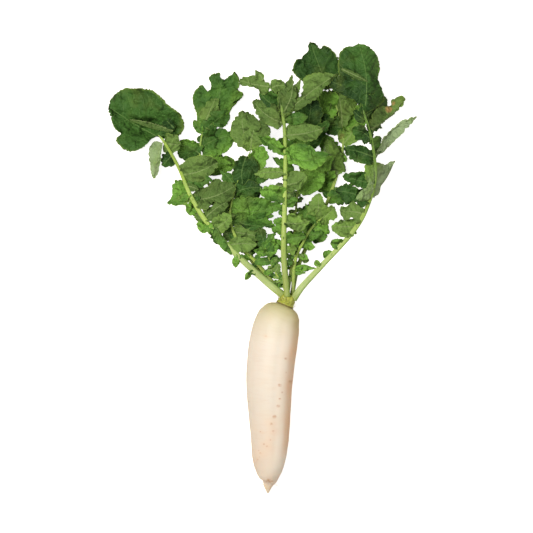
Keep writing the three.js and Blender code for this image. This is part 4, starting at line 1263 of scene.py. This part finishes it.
def blade_lift(u, v, half_width, length, width, seed):
    """The blade's own shape over its midrib's foot: it rises as u^2, twists as v, cups as |v|,
    ripples as v^2 and ruffles as v^4."""
    twist = 1.1 * (chance(seed + 0.1) - 0.5)
    rise = 0.3 * (chance(seed + 0.2) - 0.5)
    cup = 0.8 * (chance(seed + 0.3) - 0.4)
    waves = 0.09 + 0.08 * chance(seed + 0.4)
    phase = 1.5 * u + 0.25 * v + chance(seed + 0.5)
    ripple = waves * width * np.sin(2 * np.pi * phase) * v * v
    ruffle = (0.25 + 0.012 * width) * np.abs(v) ** 4 * np.sin(
        2 * np.pi * (length * u / RUFFLE_PITCH + chance(seed + 0.7) + 0.3 * np.sign(v)))
    return rise * length * u * u + (twist * v + cup * np.abs(v)) * half_width + ripple + ruffle


def blade_sheet(leaf, blade, seed):
    """The blade's middle sheet as points (x, y, z), with u, v, the ways along and aside in mm.
    Its lift, crumples and the tip's height pass through the height band."""
    station, tip_x, tip_y, width, form_name = blade[:5]
    tip_height = blade[5] if len(blade) > 5 else 3 * (chance(seed + 0.8) - 0.5)
    loose = isinstance(station, tuple)
    foot = np.array(station, float) if loose else midrib_at(leaf, station / len(leaf["stalk"]))[:2]
    x, y, u, v, half_width, length, along, aside = blade_plan(
        foot, (tip_x, tip_y), width, FORMS[form_name], seed)
    lift = (blade_lift(u, v, half_width, length, width, seed)
            + tip_height * (1 if loose else smooth(0, 0.35, u))
            + crumple(x, y, width, seed) * smooth(0, 0.12, u))
    u, v = np.broadcast_arrays(u, v)
    return np.stack([x, y, height_at(leaf, x, y, lift)], -1), u, v, along, aside


tip = blade_sheet(LEAVES["leaf_left"], LEAVES["leaf_left"]["blades"][0], 0)[0][-1]
print("a blade's tip lies", tip[:, 2].mean().round(1), "mm above the table")


# %% Blade with its two sides
LEAF_THICKNESS = 0.45
RIB_HEIGHT = 0.8
RIB_WIDTH = 0.6
GROOVE = 0.3
BOX_GAP = 0.1
LEAF_FLOOR = 0.1


def add_blade(store, leaf, blade, seed, turned, tone, fade=(0.0, 0.0)):
    """Both sheets of one blade, its rib and its rim, with the values its finish reads. The rib
    is height * e to the minus (aside / width)^2, lower towards the tip."""
    sheet, u, v, along, aside = blade_sheet(leaf, blade, seed)
    rib = RIB_HEIGHT * np.exp(-((aside / RIB_WIDTH) ** 2)) * np.sqrt(1 - 0.9 * u)
    above, below = (rib, -GROOVE * rib) if turned else (-GROOVE * rib, rib)
    sheet[..., :2] = np.clip(sheet[..., :2], cad_low[:2] + BOX_GAP, cad_high[:2] - BOX_GAP)
    # Painted light and shade: the tone slopes across the blade.
    tone = tone + 0.1 * (sheet[..., :2] - sheet[..., :2].mean((0, 1))) @ np.array(fade)
    upper, lower = sheet.copy(), sheet.copy()
    upper[..., 2] += LEAF_THICKNESS / 2 + above
    lower[..., 2] = np.maximum(lower[..., 2] - (LEAF_THICKNESS / 2 + below), LEAF_FLOOR)
    store.add(np.stack([upper, lower]), sheet_faces,
              under=np.array([1.0, 0.0] if turned else [0.0, 1.0])[:, None, None],
              along=along + 100 * chance(seed), aside=aside, edge=np.abs(v), reach=u,
              spacing=5.2 + 0.085 * blade[3], tone=tone,
              valley=1.3 * (chance(seed + 0.85) - 0.5))


# %% [markdown]
# ## Leaf stalks
# A stalk is half-round: flat and grooved on its upper side, keeled underneath, up to 10 mm wide
# near the crown and about 2 mm where the end lobe starts. It is a ring of points carried along
# the midrib's curve.

# %% Stalk surface
STALK_FLATNESS = 0.62
STALK_COLUMNS = 22
STALK_ROWS = 24
STALK_LEAST = 0.3


def add_stalk(store, leaf, turned):
    """width(t) * (cos(angle) across, flatness * sin(angle) up), less a groove over the top and
    with fine ridges all round. The width falls with t to the power 0.7."""
    reach = min(1.0, (leaf["blades"][-1][0] + 0.4) / len(leaf["stalk"]))
    t = np.linspace(0, reach, STALK_ROWS * len(leaf["stalk"]))
    path = midrib_at(leaf, t) + leaf.get("proud", 0) * smooth(0.25, 0.45, t)[:, None] * UP
    _, across, _ = frame_along(path)
    angle = np.linspace(0, 2 * np.pi, STALK_COLUMNS, endpoint=False)
    way_up = -1 if turned else 1
    sine = np.sin(angle) * way_up
    width = mix(leaf["width"][0], leaf["width"][1], t**0.7)
    width = width * (1 - 0.1 * smooth(0.1, 0.0, t)) * smooth(1.02 * reach, 0.93 * reach, t)
    width = np.maximum(width, STALK_LEAST)
    ridges = 1 + 0.03 * np.cos(9 * angle)
    groove = 0.25 * np.exp(-((angle - np.pi / 2) / 0.45) ** 2)
    rise = (np.where(sine > 0, 0.7, 1.1) * sine * ridges - groove * np.sign(sine).clip(0))
    rise = rise * STALK_FLATNESS * way_up
    ring = (path[:, None] + 0.5 * width[:, None, None] * (
        (np.cos(angle) * ridges)[None, :, None] * across[:, None]
        + rise[None, :, None] * UP))
    store.add(ring, tube_faces, slot=1, along=t[:, None], aside=angle[None],
              tone=leaf.get("pale", 0.0), valley=leaf.get("dim", 0.5),
              under=0.0, edge=0.0, reach=0.0, spacing=1.0)


# %% One leaf in one piece
def build_leaf(name, number, materials):
    """A leaf's stalk and all its blades, each with its side and tone. Every listed blade, every
    blade between and every scale has a seed of its own."""
    leaf, sides = LEAVES[name], SIDES[name]
    store = PointStore()
    last = len(leaf["blades"]) - 1
    add_stalk(store, leaf, last in sides["turned"])
    for index, blade in enumerate(leaf["blades"]):
        tone = sides["tones"].get(index, sides["tone"])
        add_blade(store, leaf, blade, 20 * number + index, index in sides["turned"], tone,
                  PAINTED_SHADE_SLOPES.get(name, {}).get(index, (0.0, 0.0)))
    for index, (blade, turned, tone) in enumerate(BETWEEN.get(name, ())):
        add_blade(store, leaf, blade, 400 + 20 * number + index, turned, tone)
    for index in range(SCALES[name][0] if name in SCALES else 0):
        seed = 700 + 30 * number + index
        add_blade(store, leaf, scale_leaflet(name, index, seed), seed, chance(seed) < 0.3,
                  0.4 + 0.55 * chance(seed + 0.5))
    return store.build(name + "_grown", materials)


# %% [markdown]
# ## Leaf finish
# A leaf's upper side is deep green and a little glossy. Its underside is grey-green and matt,
# with veins that stand out pale. Both sides share one vein pattern, so the pattern is a node
# group: it reads how far along and aside each point lies on its blade and puts out a mask of
# the veins and a height for the swellings between them.

# %% Vein group
def side_vein_gap(group, along, aside, away, slow, quick, spacing):
    """How many mm a point is from the nearest side vein. Side veins leave the midrib forwards
    and bend further forwards, as the way away squared, and those of the two sides stand in
    turn."""
    bent = line(group, times(group, away, away), -0.008, along)
    bent = line(group, away, -0.72, bent)
    bent = line(group, quick, 3.5, line(group, slow, 14.0, bent))
    phase = line(group, maths(group, "GREATER_THAN", aside, 0.0), 0.4,
                 maths(group, "DIVIDE", bent, spacing))
    share = maths(group, "FRACT", maths(group, "ADD", phase, 40.0))
    from_middle = maths(group, "ABSOLUTE", off_middle(group, share))
    return times(group, maths(group, "SUBTRACT", 0.5, from_middle), spacing)


def make_vein_group():
    """Midrib, side veins and the fine net between them, from the way along and aside in mm,
    with slow noise that makes them wander."""
    group, (along, aside, reach, spacing) = new_group(
        "leaf_veins", ("Along", "Aside", "Reach", "Spacing"), ("Rib", "Veins", "Net", "Swelling"))
    flat = grain_vector(group, along, aside)
    slow = off_middle(group, noise(group, flat, 0.06, 2))
    quick = off_middle(group, noise(group, flat, 0.22, 3))
    away = maths(group, "ABSOLUTE", aside)
    rib_edge = line(group, reach, -0.45, 0.6)
    gap = side_vein_gap(group, along, aside, away, slow, quick, spacing)
    cells = place(group, "ShaderNodeTexVoronoi", Scale=0.26, Vector=grain_vector(
        group, line(group, quick, 5.0, along), line(group, slow, 6.0, aside)))
    cells.feature = "DISTANCE_TO_EDGE"
    net_gap = cells.outputs["Distance"]
    swelling = line(group, ramp_value(group, gap, 0.0, 2.4), 0.6,
                    times(group, ramp_value(group, net_gap, 0.0, 0.3), 0.4))
    return close_group(group, Rib=ramp_value(group, away, times(group, rib_edge, 1.8), rib_edge),
                       Veins=ramp_value(group, gap, 0.5, 0.05),
                       Net=ramp_value(group, net_gap, 0.09, 0.01), Swelling=swelling)


VEINS = make_vein_group()

# %% Leaf colours
# Each side's darkest green, and the greens that follow it, each with the two tones between
# which it takes over. The upper side's last, yellow-green step is partly the green of young
# leaves and partly painted light on blades that lie in shade.
DARK_UPPER = (0.020, 0.058, 0.012, 1)
UPPER_GREENS = ((-0.1, 0.6, (0.058, 0.150, 0.024, 1)),
                (0.5, 1.15, (0.200, 0.420, 0.055, 1)),
                (1.35, 2.0, (0.360, 0.640, 0.110, 1)))
DARK_UNDER = (0.085, 0.150, 0.032, 1)
UNDER_GREENS = ((-0.1, 0.6, (0.166, 0.280, 0.060, 1)),
                (0.5, 0.85, (0.212, 0.365, 0.064, 1)),
                (0.95, 1.45, (0.330, 0.435, 0.215, 1)))
VEIN_UPPER = (0.200, 0.330, 0.090, 1)
VEIN_UNDER = (0.330, 0.430, 0.160, 1)
FLECK = (0.030, 0.070, 0.015, 1)
OLIVE = (0.150, 0.185, 0.035, 1)
# The margin's own yellow-green, partly a painted highlight along the rim.
EDGE_GREEN_AND_HIGHLIGHT = (0.260, 0.380, 0.060, 1)
SCORCHED = (0.450, 0.280, 0.100, 1)
# (x, y, radius, strength) of each spot where an underside is scorched.
SCORCH_SPOTS = ((149, 344, 5.8, 0.9), (154.5, 352, 4.6, 0.8), (90, 312, 4, 0.3))


def side_green(tree, veins, tone, dark, greens, vein_green, shares):
    """The green of one side at a tone, and the vein's green over it by its shares for the net,
    the side veins and the rib."""
    for low, high, green in greens:
        dark = blend_colour(tree, ramp_value(tree, tone, low, high), dark, green)
    masks = (veins["Net"], veins["Veins"], veins["Rib"])
    return tinted(tree, dark, [(m, s, vein_green) for m, s in zip(masks, shares)])


def scorch_tints(tree, place_in, cloud, under):
    """A tint for each scorched spot: full within 0.4 of its radius, with a cloudy edge."""
    split = place(tree, "ShaderNodeSeparateXYZ", Vector=place_in).outputs
    flat = grain_vector(tree, split["X"], split["Y"])
    for x, y, radius, strength in SCORCH_SPOTS:
        far = place(tree, "ShaderNodeVectorMath", "DISTANCE", i0=flat,
                    i1=(x * MM, y * MM, 0.0)).outputs["Value"]
        far = line(tree, off_middle(tree, cloud), -12 * MM, far)
        spot = ramp_value(tree, far, radius * MM, 0.4 * radius * MM)
        yield times(tree, spot, strength), under, SCORCHED


# %% Blade relief
def blade_height(tree, place_in, veins, under, fine):
    """The relief in mm: folds and broad waves that follow the blade, puckers and grain that
    don't, swellings between the veins, and a valley along the rib. On an underside the
    swellings are hollows."""
    along, aside = attribute(tree, "along"), attribute(tree, "aside")
    flat = grain_vector(tree, along, aside)
    folds = maths(tree, "ABSOLUTE", off_middle(tree, noise(tree, flat, 0.07, 2)))
    height = times(tree, attribute(tree, "valley"), maths(tree, "ABSOLUTE", aside))
    height = line(tree, folds, 11.0, height)
    height = line(tree, noise(tree, flat, 0.035, 2), 24.0, height)
    height = line(tree, noise(tree, place_in, 180, 3), 2.2, height)
    swelling = times(tree, veins["Swelling"], line(tree, under, -1.1, 0.6))
    return line(tree, fine, 0.25, maths(tree, "ADD", height, swelling))


# %% Blade material
def blade_material():
    """Green tissue by tone and side, with painted light and shade in the tones, pale veins,
    cloudy patches, scorched spots, a yellow-green rim that is partly a painted highlight, and
    wrinkles.
    """
    material, tree, shader = new_material("leaf_blade")
    place_in = own_place(tree)
    under, tone, edge = (attribute(tree, n) for n in ("under", "tone", "edge"))
    veins = use_group(tree, VEINS, Along=attribute(tree, "along"),
                      Aside=attribute(tree, "aside"), Reach=attribute(tree, "reach"),
                      Spacing=attribute(tree, "spacing"))
    cloud = noise(tree, place_in, 60, 4, 0.6)
    fine = noise(tree, place_in, 420, 4, 0.6)
    tone = maths(tree, "ADD", tone, off_middle(tree, cloud))
    upper = side_green(tree, veins, tone, DARK_UPPER, UPPER_GREENS, VEIN_UPPER,
                       (0.06, 0.28, 0.50))
    below = side_green(tree, veins, tone, DARK_UNDER, UNDER_GREENS, VEIN_UNDER,
                       (0.08, 0.26, 0.60))
    colour = tinted(tree, blend_colour(tree, under, upper, below), (
        (ramp_value(tree, fine, 0.45, 0.8), 0.14, FLECK),
        (ramp_value(tree, noise(tree, place_in, 38, 3), 0.5, 0.75), 0.3, OLIVE),
        # Yellow-green rim, partly a painted highlight.
        (ramp_value(tree, edge, 0.92, 1.0), 0.45, EDGE_GREEN_AND_HIGHLIGHT),
        *scorch_tints(tree, place_in, cloud, under)))
    fill(tree, shader, Base_Color=colour,
         Roughness=line(tree, fine, 0.15, line(tree, under, 0.2, 0.5)),
         Specular_IOR_Level=0.15,
         Normal=bump(tree, blade_height(tree, place_in, veins, under, fine), 1.0, MM))
    return material


# %% Stalk material
STALK_FOOT = (0.300, 0.370, 0.070, 1)
STALK_MIDDLE = (0.400, 0.550, 0.075, 1)
STALK_END = (0.130, 0.240, 0.030, 1)
STALK_PALE = (0.500, 0.600, 0.260, 1)
STALK_STREAK = (0.580, 0.650, 0.280, 1)
STALK_CLOUD = (0.170, 0.280, 0.050, 1)
# A painted shade for one side of a stalk.
STALK_SHADE = (0.160, 0.300, 0.040, 1)


def stalk_material():
    """Pale green with long streaks, whiter near the crown and greener towards the end, with
    painted shade down one side. On a stalk the mesh's tone says how pale its foot is, and its
    valley how dim its end is."""
    material, tree, shader = new_material("leaf_stalk")
    along, angle = attribute(tree, "along"), attribute(tree, "aside")
    streaks = noise(tree, grain_vector(tree, times(tree, angle, 3.2),
                                       times(tree, along, 9.0)), 2.0, 5, 0.6)
    cloud = noise(tree, own_place(tree), 90, 3)
    pale = times(tree, ramp_value(tree, along, 0.0, 0.12), ramp_value(tree, along, 0.45, 0.20))
    dim = times(tree, attribute(tree, "valley"), ramp_value(tree, along, 0.25, 0.75))
    # Painted shade down one side of the stalk.
    flank = ramp_value(tree, line(tree, streaks, 0.3, maths(tree, "COSINE", angle)), 0.25, 1.1)
    colour = blend_colour(tree, ramp_value(tree, along, 0.02, 0.25), STALK_FOOT, STALK_MIDDLE)
    colour = tinted(tree, colour, (
        (pale, attribute(tree, "tone"), STALK_PALE),
        (dim, 1.0, STALK_END),
        (ramp_value(tree, streaks, 0.42, 0.75), line(tree, dim, -0.45, 0.6), STALK_STREAK),
        (ramp_value(tree, cloud, 0.45, 0.8), 0.3, STALK_CLOUD),
        (flank, 0.55, STALK_SHADE)))
    fill(tree, shader, Base_Color=colour, Roughness=line(tree, streaks, 0.2, 0.38),
         Specular_IOR_Level=0.3, Subsurface_Weight=0.15, Subsurface_Radius=(0.8, 1.0, 0.4),
         Subsurface_Scale=0.002, Normal=bump(tree, streaks, 0.4, 0.5 * MM))
    return material


leaf_materials = [blade_material(), stalk_material()]
for number, name in enumerate(LEAVES):
    settle(build_leaf(name, number, leaf_materials), name)

# %% [markdown]
# ## Light, floor and camera
# The plant lies on a white table, seen from straight above. One broad lamp from the upper left
# models the leaves, a long narrow one from the right draws the root's gloss, and a pale sky
# lifts every shadow. A single small lamp would draw hard shadows that hide the leaves' shapes.

# %% Floor
FLOOR_REACH = 6.0
FLOOR_DROP = 0.0004
FLOOR_WHITE = (0.76, 0.68, 0.59, 1)
FLOOR_GLOW = 0.85


def make_floor():
    """A wide flat sheet just under the plant. To the camera it also glows, and so is white."""
    mesh = bpy.data.meshes.new("table_top")
    corners = [(x * FLOOR_REACH, y * FLOOR_REACH, 0)
               for x, y in ((-1, -1), (1, -1), (1, 1), (-1, 1))]
    mesh.from_pydata(corners, [], [(0, 1, 2, 3)])
    floor = link_object("table_top", mesh)
    floor.location.z = -FLOOR_DROP
    material, tree, shader = new_material("white_table")
    seen = tree.nodes.new("ShaderNodeLightPath").outputs["Is Camera Ray"]
    fill(tree, shader, Base_Color=FLOOR_WHITE, Roughness=0.9, Specular_IOR_Level=0.1,
         Emission_Color=(1, 1, 1, 1), Emission_Strength=times(tree, seen, FLOOR_GLOW))
    mesh.materials.append(material)
    print("floor:", 2 * FLOOR_REACH, "m wide")


make_floor()


# %% Lamps and sky
LAMP_AIM = (0, 0.15, 0)
SKY_STRENGTH = 0.255


def soft_lamp(name, spot, long, wide, power, colour):
    """A lamp at a spot, turned so that its light falls towards the plant. Its long side is
    level, so beside the root it lies along it."""
    light = bpy.data.lights.new(name, "AREA")
    light.shape = "RECTANGLE"
    light.size = long
    light.size_y = wide
    light.energy = power
    light.color = colour
    lamp = link_object(name, light)
    lamp.location = spot
    way = Vector(LAMP_AIM) - Vector(spot)
    lamp.rotation_euler = way.to_track_quat("-Z", "Y").to_euler()
    print(f"{name}: {power} W")


soft_lamp("key_lamp", (-0.65, 0.45, 1.75), 0.8, 0.8, 31, (1.0, 0.985, 0.96))
soft_lamp("fill_lamp", (1.35, 0.15, 1.45), 1.8, 0.3, 6, (0.98, 0.99, 1.0))

world = bpy.data.worlds.new("pale_sky")
world.use_nodes = True
fill(world.node_tree, world.node_tree.nodes["Background"], Color=(1.0, 1.0, 1.0, 1),
     Strength=SKY_STRENGTH)
bpy.context.scene.world = world
bpy.context.scene.view_settings.view_transform = "Standard"

# %% Camera
VIEW_CENTRE = (-4.4, 148.1)
VIEW_WIDTH = 666.25
VIEW_HEIGHT = 15.0
CAMERA_DISTANCE = 4500.0
SENSOR = 36.0

camera_data = bpy.data.cameras.new("camera")
camera_data.sensor_width = SENSOR
camera_data.lens = SENSOR * CAMERA_DISTANCE / VIEW_WIDTH
camera = link_object("camera", camera_data)
camera.location = (VIEW_CENTRE[0] * MM, VIEW_CENTRE[1] * MM, (VIEW_HEIGHT + CAMERA_DISTANCE) * MM)
bpy.context.scene.camera = camera
print("lens:", round(camera_data.lens, 1), "mm")

# %% [markdown]
# ## Measure and finish
# The dressed plant must fill the same box as its solids. The solids' box is printed.

def plain(box):
    """A box as plain lists of metres."""
    return [[round(float(c), 5) for c in corner] for corner in box]


print("solid box:", plain(cad_box))
